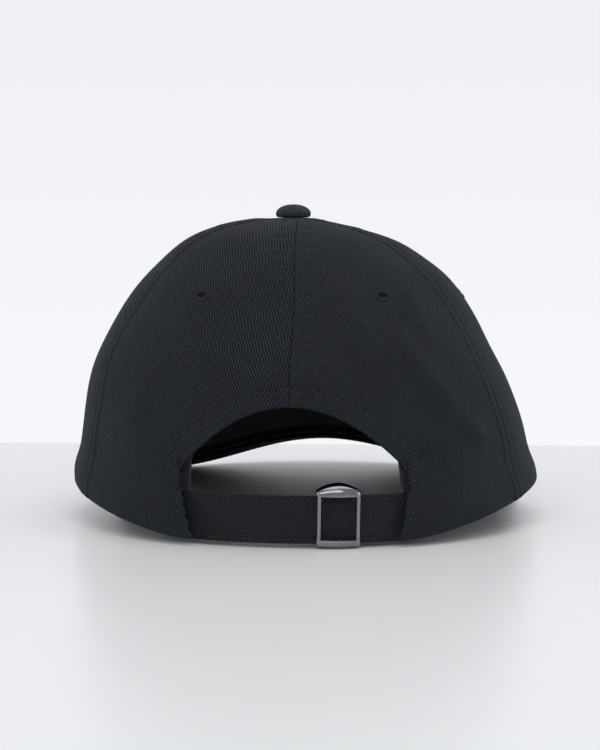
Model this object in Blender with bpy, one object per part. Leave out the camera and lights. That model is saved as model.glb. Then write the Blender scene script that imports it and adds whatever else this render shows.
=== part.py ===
"""A six-panel twill baseball cap with a curved visor, a covered top button, sewn eyelets and an
adjustable back strap in a metal slide buckle.

The cap lies as it rests on a table: the visor points to -Y and the strap faces +Y.
Units are metres, Z is up, and the origin is the centre of the head opening, on the table.
The wearer's left is +X. An azimuth is measured from the back centre, +Y, towards +X.
"""

import math

import bmesh
import bpy
from mathutils import Matrix, Vector

MM = 0.001

# Crown
HALF_WIDTH = 90.5 * MM
BACK_DEPTH = 93.0 * MM
FRONT_DEPTH = 97.0 * MM
CROWN_TOP = 118.2 * MM
LEAN = 5.8 * MM
WAIST = 0.11
FULLNESS = 2.17
FRONT_FULLNESS = 2.5
ROLL = 0.5 * MM
SIDE_ROLL = 1.1 * MM
ROLL_HEIGHT = 5.0 * MM
ROLL_SPREAD = 6.0 * MM
ROLL_TOP = 15.0 * MM
BACK_LIFT = 2.2 * MM
SIDE_LIFT = 13.0 * MM
CONTACT_AZIMUTH = math.radians(25)
SIDE_AZIMUTH = math.radians(90)
BACK_SEAM = math.radians(64)
FRONT_SEAM = math.radians(122)
TIP_RADIUS = 3.0 * MM

# Cloth and gaps
TWILL = 1.2 * MM
GAP = 0.3 * MM
TAPE = 0.6 * MM
TAPE_HALF_WIDTH = 7.0 * MM
TAPE_END_RADIUS = 15.5 * MM
STIFFENER = 0.8 * MM
STIFFENER_TOP = 95.0 * MM
FACING = 0.7 * MM
FACING_WIDTH = 9.0 * MM

# Back opening
ARCH_TOP = 49.5 * MM
ARCH_CORNER_HEIGHT = 27.0 * MM
ARCH_HALF_WIDTH = 41.2 * MM
OPENING_FOOT = 36.8 * MM
OPENING_BOW = 1.8
FAN_END = math.radians(42)

# Sweatband
BAND_HEIGHT = 30.0 * MM
BAND_LOW = 2.0 * MM
BAND_THICKNESS = 1.4 * MM
BAND_INSET = 3.2 * MM
POCKET_INSET = 8.3 * MM
BAND_END = math.radians(29)
POCKET_END = math.radians(66)
POCKET_FADE = math.radians(85)

# Visor, as heights of its top surface
VISOR_HEIGHT = 24.1 * MM
VISOR_ARCH = 16.3 * MM
VISOR_ARCH_HALF = 86.0 * MM
VISOR_SLOPE = math.tan(math.radians(6.8))
VISOR_ROOT = math.radians(118)
VISOR_INNER = 4.0 * MM
VISOR_WIDEST_Y = -88.0 * MM
VISOR_HALF_WIDTH = 90.0 * MM
VISOR_REACH = 77.0 * MM
VISOR_RETURN = 93.0 * MM
VISOR_SWEEP = math.radians(113)
VISOR_SQUARENESS = 2.25
VISOR_COVER = 0.8 * MM
VISOR_BOARD = 2.0 * MM
VISOR_THICKNESS = 2 * VISOR_COVER + 2 * GAP + VISOR_BOARD
VISOR_EDGE_ROUND = 1.0 * MM

# Top button
BUTTON_RADIUS = 6.9 * MM
BUTTON_HEIGHT = 5.0 * MM
BUTTON_CLOTH = 0.7 * MM
BUTTON_METAL = 0.6 * MM
POST_RADIUS = 1.2 * MM
WASHER_RADIUS = 8.0 * MM
WASHER_THICKNESS = 1.0 * MM

# Eyelets
EYELET_HEIGHT = 88.5 * MM
EYELET_OUTER = 3.6 * MM
EYELET_HOLE = 1.6 * MM
EYELET_PROUD = 0.45 * MM

# Strap, which bends round a vertical axis behind the opening
STRAP_AXIS_Y = 4.2 * MM
STRAP_OUTER = 84.5 * MM
STRAP_THICKNESS = 1.6 * MM
STRAP_BOTTOM = 1.5 * MM
STRAP_TOP = 18.7 * MM
STRAP_LEFT_END = math.radians(40)
STRAP_TAIL_END = math.radians(-42)

# Buckle and the tab that holds it, around the centre bar
BUCKLE_ANGLE = math.radians(-10.3)
BAR_ORBIT = 80.5 * MM
BAR_RADIUS = 0.9 * MM
BAR_CLEARANCE = 0.35 * MM
TAB_OUTER = 82.6 * MM
TAB_INNER = 80.8 * MM
TAB_LOOP_RADIUS = 2.0 * MM
TAB_BOTTOM = 2.1 * MM
TAB_TOP = 18.1 * MM
TAB_END = math.radians(-47)
BUCKLE_HALF_WIDTH = 7.7 * MM
SIDE_BAR_OUTER = 7.3 * MM
SIDE_BAR_WIDTH = 1.25 * MM
SIDE_BAR_FRONT = 6.1 * MM
STRAP_SIDE = 4.8 * MM
RAIL_FRONT = 7.6 * MM
RAIL_BACK = -1.9 * MM
RAIL_FRONT_CURVE = 1.5 * MM
RAIL_BACK_CURVE = 2.9 * MM
RAIL_ROUND = 0.7

MATERIALS = {
    "twill": ((0.018, 0.020, 0.024), 0.85, 0.0),
    "lining": ((0.014, 0.015, 0.018), 0.9, 0.0),
    "thread": ((0.022, 0.024, 0.028), 0.6, 0.0),
    "board": ((0.75, 0.75, 0.73), 0.5, 0.0),
    "gunmetal": ((0.30, 0.30, 0.31), 0.25, 1.0),
}


def smooth(low, high, value):
    """0 before low, 1 after high, and a smooth step between them."""
    t = min(1.0, max(0.0, (value - low) / (high - low)))
    return t * t * (3 - 2 * t)


def mix(a, b, t):
    return a + (b - a) * t


def spread(low, high, count):
    """count + 1 evenly spaced values from low to high."""
    return [mix(low, high, i / count) for i in range(count + 1)]


# The crown's surface


def visor_top(x, y):
    """Height of the visor's top surface: arched across, sloping down towards the front."""
    arch = VISOR_ARCH * math.sin(math.pi / 2 * x / VISOR_ARCH_HALF) ** 2
    return VISOR_HEIGHT - arch + (y + FRONT_DEPTH) * VISOR_SLOPE


def edge_height(azimuth):
    """Height of the crown's bottom edge, which lifts at the sides and follows the visor in front."""
    side = abs(azimuth)
    turned = min(1.0, max(0.0, (side - CONTACT_AZIMUTH) / (SIDE_AZIMUTH - CONTACT_AZIMUTH)))
    lifted = BACK_LIFT + SIDE_LIFT * math.sin(math.pi / 2 * turned) ** 1.5
    at_visor = visor_top(HALF_WIDTH * math.sin(side), FRONT_DEPTH * math.cos(side)) + GAP
    return mix(lifted, at_visor, smooth(SIDE_AZIMUTH, VISOR_ROOT, side))


def fullness(azimuth):
    return mix(FULLNESS, FRONT_FULLNESS, smooth(SIDE_AZIMUTH, math.pi, abs(azimuth)))


def reach_and_height(azimuth, rise):
    """How far out and how far up a superellipse meridian is, each from 0 to 1.

    It is drawn in a little halfway up, as soft cloth is between the hem and the crown's top.
    """
    angle = rise * math.pi / 2
    power = 2 / fullness(azimuth)
    lift = math.sin(angle) ** power
    return math.cos(angle) ** power * (1 - WAIST * lift * (1 - lift)), lift


def rise_at(azimuth, height):
    """The rise of the meridian point at this height above the table."""
    low = edge_height(azimuth)
    share = max(0.0, (height - low) / (CROWN_TOP - low))
    return math.asin(share ** (fullness(azimuth) / 2)) * 2 / math.pi


def rise_at_radius(azimuth, radius):
    """The rise at which the meridian comes this near to the crown's axis."""
    reach = radius / HALF_WIDTH
    return math.acos(reach ** (fullness(azimuth) / 2)) * 2 / math.pi


def crown_point(azimuth, rise, rolled=True):
    """A point of the crown's outer surface. The bottom edge bulges where its hem is rolled."""
    reach, lift = reach_and_height(azimuth, rise)
    low = edge_height(azimuth)
    height = mix(low, CROWN_TOP, lift)
    roll = 0.0
    if rolled:
        size = ROLL + SIDE_ROLL * math.sin(azimuth) ** 4
        roll = size * math.exp(-(((height - low - ROLL_HEIGHT) / ROLL_SPREAD) ** 2))
    depth = BACK_DEPTH if math.cos(azimuth) > 0 else FRONT_DEPTH
    x = (HALF_WIDTH * reach + roll) * math.sin(azimuth) + LEAN * lift
    y = (depth * reach + roll) * math.cos(azimuth)
    return Vector((x, y, height))


def crown_normal(azimuth, rise, rolled=True):
    step = 0.002
    low, high = max(0.0, rise - step), min(0.995, rise + step)
    along = crown_point(azimuth, high, rolled) - crown_point(azimuth, low, rolled)
    before = crown_point(azimuth - step, rise, rolled)
    across = crown_point(azimuth + step, rise, rolled) - before
    return along.cross(across).normalized()


def inside_crown(azimuth, rise, depth, rolled=True):
    """The point this far beneath the crown's outer surface."""
    return crown_point(azimuth, rise, rolled) - crown_normal(azimuth, rise, rolled) * depth


def on_back(x, height):
    """The azimuth and rise of the back's point at this x and height."""
    rise = rise_at(0.0, height)
    reach, _ = reach_and_height(0.0, rise)
    return math.asin(x / (HALF_WIDTH * reach)), rise


def arch_height(x):
    drop = ARCH_TOP - ARCH_CORNER_HEIGHT
    return ARCH_TOP - drop * (x / ARCH_HALF_WIDTH) ** 2


# Building meshes


def material(name):
    found = bpy.data.materials.get(name)
    if found:
        return found
    colour, roughness, metallic = MATERIALS[name]
    made = bpy.data.materials.new(name)
    made.use_nodes = True
    shader = made.node_tree.nodes["Principled BSDF"]
    shader.inputs["Base Color"].default_value = (*colour, 1)
    shader.inputs["Roughness"].default_value = roughness
    shader.inputs["Metallic"].default_value = metallic
    return made


def make_object(name, points, faces, finish, place=None):
    """A closed mesh object, with doubled points merged and its faces pointing out."""
    shape = bmesh.new()
    corners = [shape.verts.new(p) for p in points]
    for face in faces:
        shape.faces.new([corners[i] for i in face])
    bmesh.ops.remove_doubles(shape, verts=shape.verts, dist=1e-6)
    bmesh.ops.recalc_face_normals(shape, faces=shape.faces)
    mesh = bpy.data.meshes.new(name)
    shape.to_mesh(mesh)
    shape.free()
    mesh.materials.append(material(finish))
    mesh.shade_smooth()
    mesh.set_sharp_from_angle(angle=math.radians(40))
    made = bpy.data.objects.new(name, mesh)
    bpy.context.scene.collection.objects.link(made)
    if place:
        made.matrix_world = place
    return made


def grid_faces(rows, columns, start, flip=False):
    found = []
    for r in range(rows - 1):
        for c in range(columns - 1):
            a = start + r * columns + c
            face = [a, a + 1, a + columns + 1, a + columns]
            found.append(face[::-1] if flip else face)
    return found


def rim(rows, columns):
    """The border of a grid as a closed loop of indices."""
    bottom = list(range(columns))
    right = [r * columns + columns - 1 for r in range(1, rows)]
    top = [(rows - 1) * columns + c for c in range(columns - 2, -1, -1)]
    left = [r * columns for r in range(rows - 2, 0, -1)]
    return bottom + right + top + left


def shell(name, outer, inner, finish):
    """A sheet of cloth or board as a closed solid between two grids that share their borders."""
    rows, columns = len(outer), len(outer[0])
    inner_rows, inner_columns = len(inner), len(inner[0])
    points = [p for row in outer for p in row] + [p for row in inner for p in row]
    start = rows * columns
    faces = grid_faces(rows, columns, 0)
    faces += grid_faces(inner_rows, inner_columns, start, flip=True)
    outer_rim = rim(rows, columns)
    inner_rim = [start + i for i in rim(inner_rows, inner_columns)]
    for i, corner in enumerate(outer_rim):
        following = (i + 1) % len(outer_rim)
        faces.append([corner, inner_rim[i], inner_rim[following], outer_rim[following]])
    return make_object(name, points, faces, finish)


def crown_shell(name, coordinates, top_depth, thickness, finish):
    """A shell that follows the crown: coordinates is a grid of azimuth and rise."""
    outer = [[inside_crown(a, r, top_depth) for a, r in row] for row in coordinates]
    inner = [[inside_crown(a, r, top_depth + thickness) for a, r in row] for row in coordinates]
    return shell(name, outer, inner, finish)


def spun(name, profile, finish, segments=24, place=None):
    """A solid of revolution about Z from a closed profile of radius and height."""
    count = len(profile)
    points = []
    for k in range(segments):
        turn = 2 * math.pi * k / segments
        points += [(r * math.cos(turn), r * math.sin(turn), z) for r, z in profile]
    faces = []
    for k in range(segments):
        near, far = k * count, (k + 1) % segments * count
        for i in range(count):
            j = (i + 1) % count
            faces.append([near + i, near + j, far + j, far + i])
    return make_object(name, points, faces_with_area(points, faces), finish, place=place)


def faces_with_area(points, faces):
    """The faces again, without corners that repeat a place, as on a turned solid's axis."""
    kept = []
    for face in faces:
        corners = []
        for i in face:
            place = Vector(points[i])
            if all((place - Vector(points[j])).length > 1e-7 for j in corners):
                corners.append(i)
        if len(corners) > 2:
            kept.append(corners)
    return kept


def loft(name, sections, finish, place=None):
    """A solid through closed sections of equal length, capped at both ends."""
    count = len(sections[0])
    points = [p for section in sections for p in section]
    faces = [list(range(count))[::-1]]
    for s in range(len(sections) - 1):
        for i in range(count):
            j = (i + 1) % count
            base = s * count
            faces.append([base + i, base + j, base + count + j, base + count + i])
    faces.append(list(range((len(sections) - 1) * count, len(points))))
    return make_object(name, points, faces, finish, place=place)


def box_points(low, high):
    (x0, y0, z0), (x1, y1, z1) = low, high
    return [[(x0, y0, z), (x1, y0, z), (x1, y1, z), (x0, y1, z)] for z in (z0, z1)]


def rod(name, radius, low, high, finish, segments=16, place=None):
    profile = [(0.0, low), (radius, low), (radius, high), (0.0, high)]
    return spun(name, profile, finish, segments, place)


def combine(target, tool, operation):
    """Joins the tool to the target or cuts it away, then removes the tool."""
    change = target.modifiers.new(operation.lower(), "BOOLEAN")
    change.operation = operation
    change.solver = "EXACT"
    change.object = tool
    bpy.context.view_layer.update()
    graph = bpy.context.evaluated_depsgraph_get()
    result = bpy.data.meshes.new_from_object(target.evaluated_get(graph))
    target.modifiers.clear()
    target.data = result
    bpy.data.objects.remove(tool)


# The crown's pieces


def seamed(azimuth, rise, first_seam, second_seam):
    """The azimuth moved inside its panel, so that a gap is left along both seams."""
    reach, _ = reach_and_height(azimuth, rise)
    half_gap = GAP / 2 / max(HALF_WIDTH * reach, TIP_RADIUS)
    share = (azimuth - first_seam) / (second_seam - first_seam)
    return mix(first_seam + half_gap, second_seam - half_gap, share)


def panel_grid(bottom, first_seam, second_seam, rows=18):
    """Lines that run from each point of the panel's lower border up to its narrow tip.

    Each point of the border holds its azimuth, its rise and the azimuth that its line turns to.
    """
    grid = []
    for row in range(rows + 1):
        share = (row / rows) ** 1.8
        turned = 1 - (1 - share) ** 3
        line = []
        for azimuth, rise, at_tip in bottom:
            here = mix(azimuth, at_tip, turned)
            up = mix(rise, rise_at_radius(at_tip, TIP_RADIUS), share)
            line.append((seamed(here, up, first_seam, second_seam), up))
        grid.append(line)
    return grid


def opening_border():
    """The back opening's edge from the arch's middle round to the hem, then along the hem."""
    border = []
    for x in spread(0.0, ARCH_HALF_WIDTH, 8):
        azimuth, rise = on_back(x, arch_height(x))
        border.append((azimuth, rise, azimuth))
    corner = border[-1][0]
    for share in (0.25, 0.5, 0.75):
        x = mix(ARCH_HALF_WIDTH, OPENING_FOOT, share**OPENING_BOW)
        azimuth, rise = on_back(x, mix(ARCH_CORNER_HEIGHT, BACK_LIFT, share))
        border.append((azimuth, rise, mix(corner, FAN_END, share)))
    foot, _ = on_back(OPENING_FOOT, BACK_LIFT)
    for share in spread(0.0, 1.0, 6):
        border.append((mix(foot, BACK_SEAM, share), 0.0, mix(FAN_END, BACK_SEAM, share)))
    return border


def straight_border(first_seam, second_seam):
    return [(azimuth, 0.0, azimuth) for azimuth in spread(first_seam, second_seam, 10)]


def mirrored(grid):
    return [[(-azimuth, rise) for azimuth, rise in row] for row in grid]


def eyelet_place(azimuth):
    """The frame of an eyelet on the crown: its Z axis is the surface's normal."""
    rise = rise_at(azimuth, EYELET_HEIGHT)
    turn = crown_normal(azimuth, rise).to_track_quat("Z", "Y")
    return Matrix.LocRotScale(crown_point(azimuth, rise), turn, None)


def punch(target, place):
    """Cuts an eyelet's hole."""
    reach = 6 * MM
    cutter = rod("cutter", EYELET_OUTER + GAP, -reach, reach, "thread", 14, place)
    combine(target, cutter, "DIFFERENCE")


def make_eyelet(name, place):
    top, bottom = EYELET_PROUD, -TWILL - 0.15 * MM
    soft = 0.35 * MM
    profile = [
        (EYELET_HOLE + soft, bottom),
        (EYELET_OUTER - soft, bottom),
        (EYELET_OUTER, bottom + soft),
        (EYELET_OUTER, top - soft),
        (EYELET_OUTER - soft, top),
        (EYELET_HOLE + soft, top),
        (EYELET_HOLE, top - soft),
        (EYELET_HOLE, bottom + soft),
    ]
    spun(name, profile, "thread", 12, place)


def make_panels():
    hem = {
        "back": opening_border(),
        "side": straight_border(BACK_SEAM, FRONT_SEAM),
        "front": straight_border(FRONT_SEAM, math.pi),
    }
    seams = {
        "back": (0.0, BACK_SEAM),
        "side": (BACK_SEAM, FRONT_SEAM),
        "front": (FRONT_SEAM, math.pi),
    }
    for part, border in hem.items():
        grid = panel_grid(border, *seams[part])
        middle = sum(seams[part]) / 2
        for side, sign in (("left", 1), ("right", -1)):
            placed = grid if sign > 0 else mirrored(grid)
            panel = crown_shell(f"{part}_{side}_panel", placed, 0.0, TWILL, "twill")
            place = eyelet_place(sign * middle)
            punch(panel, place)
            make_eyelet(f"{part}_{side}_eyelet", place)


def tape_grid(seam, low, rows=12):
    """A strip of even width that follows a seam up the crown."""
    top = rise_at_radius(seam, TAPE_END_RADIUS)
    grid = []
    for rise in spread(rise_at(seam, low), top, rows):
        reach, _ = reach_and_height(seam, rise)
        half = TAPE_HALF_WIDTH / (HALF_WIDTH * reach)
        grid.append([(seam + turn, rise) for turn in spread(-half, half, 3)])
    return grid


def make_tapes():
    low = {
        "back_seam_tape": (0.0, ARCH_TOP + FACING_WIDTH + 1.5 * MM),
        "left_back_seam_tape": (BACK_SEAM, edge_height(BACK_SEAM) + ROLL_TOP),
        "right_back_seam_tape": (-BACK_SEAM, edge_height(BACK_SEAM) + ROLL_TOP),
        "left_front_seam_tape": (FRONT_SEAM, edge_height(FRONT_SEAM) + ROLL_TOP),
        "right_front_seam_tape": (-FRONT_SEAM, edge_height(FRONT_SEAM) + ROLL_TOP),
        "front_seam_tape": (math.pi, edge_height(math.pi) + ROLL_TOP),
    }
    for name, (seam, height) in low.items():
        crown_shell(name, tape_grid(seam, height), TWILL + GAP, TAPE, "lining")


def make_stiffeners():
    margin = TAPE_HALF_WIDTH + 1 * MM
    grid = []
    for height in spread(0.0, 1.0, 9):
        row = []
        for share in spread(0.0, 1.0, 8):
            middle = mix(FRONT_SEAM, math.pi, share)
            low = edge_height(middle) + ROLL_TOP
            rise = rise_at(middle, mix(low, STIFFENER_TOP, height))
            reach, _ = reach_and_height(middle, rise)
            turn = margin / (HALF_WIDTH * reach)
            row.append((mix(FRONT_SEAM + turn, math.pi - turn, share), rise))
        grid.append(row)
    place = (FRONT_SEAM + math.pi) / 2
    for side, sign in (("left", 1), ("right", -1)):
        placed = grid if sign > 0 else mirrored(grid)
        name = f"front_{side}_stiffener"
        made = crown_shell(name, placed, TWILL + GAP, STIFFENER, "lining")
        punch(made, eyelet_place(sign * place))


def make_facing():
    """The tape that finishes the inside of the arch."""
    grid = []
    for out in spread(0.5 * MM, FACING_WIDTH, 2):
        row = []
        for x in spread(-ARCH_HALF_WIDTH + 1 * MM, ARCH_HALF_WIDTH - 1 * MM, 20):
            slope = -2 * (ARCH_TOP - ARCH_CORNER_HEIGHT) * x / ARCH_HALF_WIDTH**2
            length = math.hypot(1, slope)
            row.append(on_back(x - slope / length * out, arch_height(x) + out / length))
        grid.append(row)
    crown_shell("arch_facing", grid, TWILL + GAP, FACING, "lining")


def band_inset(azimuth):
    """The sweatband stands further in beside the opening, where the strap's ends tuck behind it."""
    return mix(POCKET_INSET, BAND_INSET, smooth(POCKET_END, POCKET_FADE, abs(azimuth)))


def make_sweatband():
    outer, inner = [], []
    for share in spread(0.0, 1.0, 3):
        outer_row, inner_row = [], []
        for turn in spread(BAND_END, 2 * math.pi - BAND_END, 48):
            azimuth = turn if turn <= math.pi else turn - 2 * math.pi
            low = edge_height(azimuth) + BAND_LOW
            rise = rise_at(azimuth, low + share * BAND_HEIGHT)
            inset = band_inset(azimuth)
            outer_row.append(inside_crown(azimuth, rise, inset, False))
            inner_row.append(inside_crown(azimuth, rise, inset + BAND_THICKNESS, False))
        outer.append(outer_row)
        inner.append(inner_row)
    shell("sweatband", outer, inner, "lining")


# The visor


def visor_plan(along, out):
    """A point of the visor's plan: along runs from -1 to 1 round the root, out from 0 to 1."""
    turn = (math.pi - VISOR_ROOT) * along
    root_x = (HALF_WIDTH - VISOR_INNER) * math.sin(turn)
    root_y = -(FRONT_DEPTH - VISOR_INNER) * math.cos(turn)
    sweep = VISOR_SWEEP * along
    side, front = math.sin(sweep), math.cos(sweep)
    reach = VISOR_REACH if front > 0 else VISOR_RETURN
    if front > 0:
        power = 2 / VISOR_SQUARENESS
        side = math.copysign(abs(side) ** power, side)
        front = front**power
    edge_x = VISOR_HALF_WIDTH * side
    edge_y = VISOR_WIDEST_Y - reach * front
    return mix(root_x, edge_x, out), mix(root_y, edge_y, out)


def visor_grid(alongs, outs, depth_at):
    grid = []
    for i, along in enumerate(alongs):
        row = []
        for j, out in enumerate(outs):
            x, y = visor_plan(along, out)
            row.append(Vector((x, y, visor_top(x, y) - depth_at(i, j))))
        grid.append(row)
    return grid


def make_visor():
    """Two covers, each with a lip that closes the edge, and the board between them."""
    lip_along, lip_out = 0.972, 0.965
    middle = spread(-0.93, 0.93, 24)
    alongs = [-1.0, -lip_along, *middle, lip_along, 1.0]
    outs = [0.0, 0.2, 0.4, 0.6, 0.8, 0.93, 0.985, 1.0]
    pocket_alongs = [-1.0, -lip_along, *alongs[1:-1], lip_along, 1.0]
    pocket_outs = [*outs[:6], lip_out, lip_out, 1.0]
    last_along, last_out = len(pocket_alongs) - 2, len(pocket_outs) - 2
    half = VISOR_THICKNESS / 2
    level = half - GAP / 2

    def rounded(j):
        return {len(outs) - 2: 0.25, len(outs) - 1: 1.0}.get(j, 0.0) * VISOR_EDGE_ROUND

    def in_pocket(i, j):
        return 1 < i < last_along and j < last_out

    top_outer = visor_grid(alongs, outs, lambda i, j: rounded(j))
    top_inner = visor_grid(
        pocket_alongs, pocket_outs, lambda i, j: VISOR_COVER if in_pocket(i, j) else level
    )
    visor_cover("visor_top_cover", top_outer, top_inner)
    under_outer = visor_grid(alongs, outs, lambda i, j: VISOR_THICKNESS - rounded(j))
    under_inner = visor_grid(
        pocket_alongs,
        pocket_outs,
        lambda i, j: VISOR_THICKNESS - (VISOR_COVER if in_pocket(i, j) else level),
    )
    visor_cover("visor_under_cover", under_outer, under_inner)
    board_alongs = [-0.948, *middle, 0.948]
    board_outs = [0.004, *outs[1:6], 0.955]
    top = VISOR_COVER + GAP
    upper = visor_grid(board_alongs, board_outs, lambda i, j: top)
    lower = visor_grid(board_alongs, board_outs, lambda i, j: top + VISOR_BOARD)
    shell("visor_board", upper, lower, "board")


def visor_cover(name, outer, inner):
    """A cover between an outer grid and an inner one that has more lines, for its pocket."""
    points = [p for row in outer for p in row] + [p for row in inner for p in row]
    rows, columns = len(outer), len(outer[0])
    inner_rows, inner_columns = len(inner), len(inner[0])
    start = rows * columns
    faces = grid_faces(rows, columns, 0)
    faces += grid_faces(inner_rows, inner_columns, start, flip=True)
    faces += joined_edges(
        [c for c in range(columns)], [start + c for c in range(inner_columns)]
    )
    last, inner_last = (rows - 1) * columns, start + (inner_rows - 1) * inner_columns
    faces += joined_edges(
        [last + c for c in range(columns)], [inner_last + c for c in range(inner_columns)]
    )
    faces += joined_edges(
        [r * columns for r in range(rows)],
        [start + r * inner_columns for r in range(inner_rows)],
    )
    faces += joined_edges(
        [(r + 1) * columns - 1 for r in range(rows)],
        [start + (r + 1) * inner_columns - 1 for r in range(inner_rows)],
    )
    made = make_object(name, points, faces_with_area(points, faces), "twill")
    return made


def joined_edges(first, second):
    """Triangles between two lines of indices that start and end together."""
    faces = []
    i = j = 0
    while i < len(first) - 1 or j < len(second) - 1:
        ahead = (i + 1) / (len(first) - 1) <= (j + 1) / (len(second) - 1)
        if j == len(second) - 1 or (ahead and i < len(first) - 1):
            faces.append([first[i], first[i + 1], second[j]])
            i += 1
        else:
            faces.append([first[i], second[j + 1], second[j]])
            j += 1
    return faces


# The button


def dome(radius, low, high, count=6, power=0.8):
    """The profile of a flattened dome, from its foot in to the axis."""
    found = []
    for angle in spread(0.0, math.pi / 2, count):
        reach = math.cos(angle) ** power if angle < math.pi / 2 else 0.0
        found.append((radius * reach, mix(low, high, math.sin(angle) ** power)))
    return found


def make_button():
    seat = CROWN_TOP + GAP
    shoulder = seat + 1.1 * MM
    top = seat + BUTTON_HEIGHT
    shell_radius = BUTTON_RADIUS - BUTTON_CLOTH - GAP
    shell_top = top - BUTTON_CLOTH - GAP
    turn_in = 1.6 * MM
    cover = [(BUTTON_RADIUS - turn_in, seat), (BUTTON_RADIUS - 0.3 * MM, seat)]
    cover += dome(BUTTON_RADIUS, shoulder, top)
    cover += dome(BUTTON_RADIUS - BUTTON_CLOTH, shoulder, top - BUTTON_CLOTH)[::-1]
    cover += [(BUTTON_RADIUS - turn_in, seat + BUTTON_CLOTH)]
    place = Matrix.Translation((LEAN, 0.0, 0.0))
    spun("button_cover", cover, "twill", 20, place)
    low = seat + BUTTON_CLOTH + GAP
    metal = dome(shell_radius, low, shell_top)
    metal += dome(shell_radius - BUTTON_METAL, low, shell_top - BUTTON_METAL)[::-1]
    spun("button_shell", metal, "gunmetal", 20, place)
    head_top = shell_top - BUTTON_METAL - GAP
    head_low = head_top - 0.8 * MM
    under = CROWN_TOP - TWILL - GAP
    foot = under - WASHER_THICKNESS - GAP
    rivet = [
        (0.0, foot - 0.7 * MM),
        (2.2 * MM, foot - 0.7 * MM),
        (2.2 * MM, foot),
        (POST_RADIUS, foot),
        (POST_RADIUS, head_low),
        (2.0 * MM, head_low),
        (2.0 * MM, head_top),
        (0.0, head_top),
    ]
    spun("button_rivet", rivet, "gunmetal", 16, place)
    hole = POST_RADIUS + GAP
    top_face = under - 0.2 * MM
    washer = [
        (hole, under - WASHER_THICKNESS),
        (WASHER_RADIUS - 0.3 * MM, under - WASHER_THICKNESS),
        (WASHER_RADIUS, under - WASHER_THICKNESS + 0.3 * MM),
        (WASHER_RADIUS, top_face - 0.3 * MM),
        (WASHER_RADIUS - 0.3 * MM, top_face),
        (hole, top_face),
    ]
    spun("button_washer", washer, "gunmetal", 20, place)


# The strap and its buckle


def on_strap(angle, radius, height):
    """A point at an angle round the strap's axis, measured from +Y towards +X."""
    return Vector((radius * math.sin(angle), STRAP_AXIS_Y + radius * math.cos(angle), height))


def hung_edge(angle, low):
    """The strap's lower edge rises behind the crown's panels, so that their hem covers it."""
    behind = smooth(math.radians(26), math.radians(33), abs(angle))
    return mix(low, edge_height(angle) + 0.6 * MM, behind)


def arc_band(name, radii, heights, angles, steps, finish):
    """A band that bends round the strap's axis, between a low and a high edge."""
    turns = spread(*angles, steps)
    low, high = heights
    edges = [[(t, hung_edge(t, low)) for t in turns], [(t, high) for t in turns]]
    outer = [[on_strap(t, radii[1], z) for t, z in edge] for edge in edges]
    inner = [[on_strap(t, radii[0], z) for t, z in edge] for edge in edges]
    return shell(name, outer, inner, finish)


def make_strap():
    radii = (STRAP_OUTER - STRAP_THICKNESS, STRAP_OUTER)
    ends = (STRAP_TAIL_END, STRAP_LEFT_END)
    arc_band("strap", radii, (STRAP_BOTTOM, STRAP_TOP), ends, 34, "twill")


def make_tab():
    """A doubled tab that is folded round the centre bar and tucked behind the right panel."""
    ends = (TAB_END, BUCKLE_ANGLE)
    tab = arc_band("keeper_tab", (TAB_INNER, TAB_OUTER), (TAB_BOTTOM, TAB_TOP), ends, 16, "twill")
    centre = Matrix.Translation(on_strap(BUCKLE_ANGLE, BAR_ORBIT, 0.0))
    fold = rod("fold", TAB_LOOP_RADIUS, TAB_BOTTOM, TAB_TOP, "twill", 20, centre)
    combine(tab, fold, "UNION")
    tunnel = rod("tunnel", BAR_RADIUS + BAR_CLEARANCE, 0.0, 2 * TAB_TOP, "twill", 16, centre)
    combine(tab, tunnel, "DIFFERENCE")


def rail_section(x, strap_edge, lip, crest, end):
    """A rail's section at x. It rounds from its front lip over its crest to its back edge."""
    share = x / BUCKLE_HALF_WIDTH
    front = RAIL_FRONT - RAIL_FRONT_CURVE * share**2
    back = RAIL_BACK + RAIL_BACK_CURVE * share**2
    middle = (front + back) / 2
    height = mix(end, crest, math.cos(math.pi / 2 * share * 0.96))
    section = [(x, STRAP_SIDE - 0.2 * MM, strap_edge), (x, STRAP_SIDE, lip)]
    for angle in spread(0.0, math.pi, 10):
        reach = math.copysign(abs(math.cos(angle)) ** RAIL_ROUND, math.cos(angle))
        depth = (front - middle) if reach > 0 else (middle - back)
        low = lip if reach > 0 else strap_edge
        rise = max(0.0, math.sin(angle)) ** RAIL_ROUND
        section.append((x, middle + depth * reach, mix(low, height, rise)))
    return section


def make_rail(name, strap_edge, lip, crest, end):
    stations = spread(-BUCKLE_HALF_WIDTH, BUCKLE_HALF_WIDTH, 12)
    return loft(name, [rail_section(x, strap_edge, lip, crest, end) for x in stations], "gunmetal")


def make_side_bar(sign, low, high):
    """A flat bar with chamfered corners, standing in front of the strap."""
    inner, outer = SIDE_BAR_OUTER - SIDE_BAR_WIDTH, SIDE_BAR_OUTER
    near, far = STRAP_SIDE + 0.05 * MM, SIDE_BAR_FRONT
    cut = 0.3 * MM
    outline = [(inner, near), (outer, near), (outer, far - cut), (outer - cut, far)]
    outline += [(inner + cut, far), (inner, far - cut)]
    return loft("bar", [[(sign * x, y, z) for x, y in outline] for z in (low, high)], "gunmetal")


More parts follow.
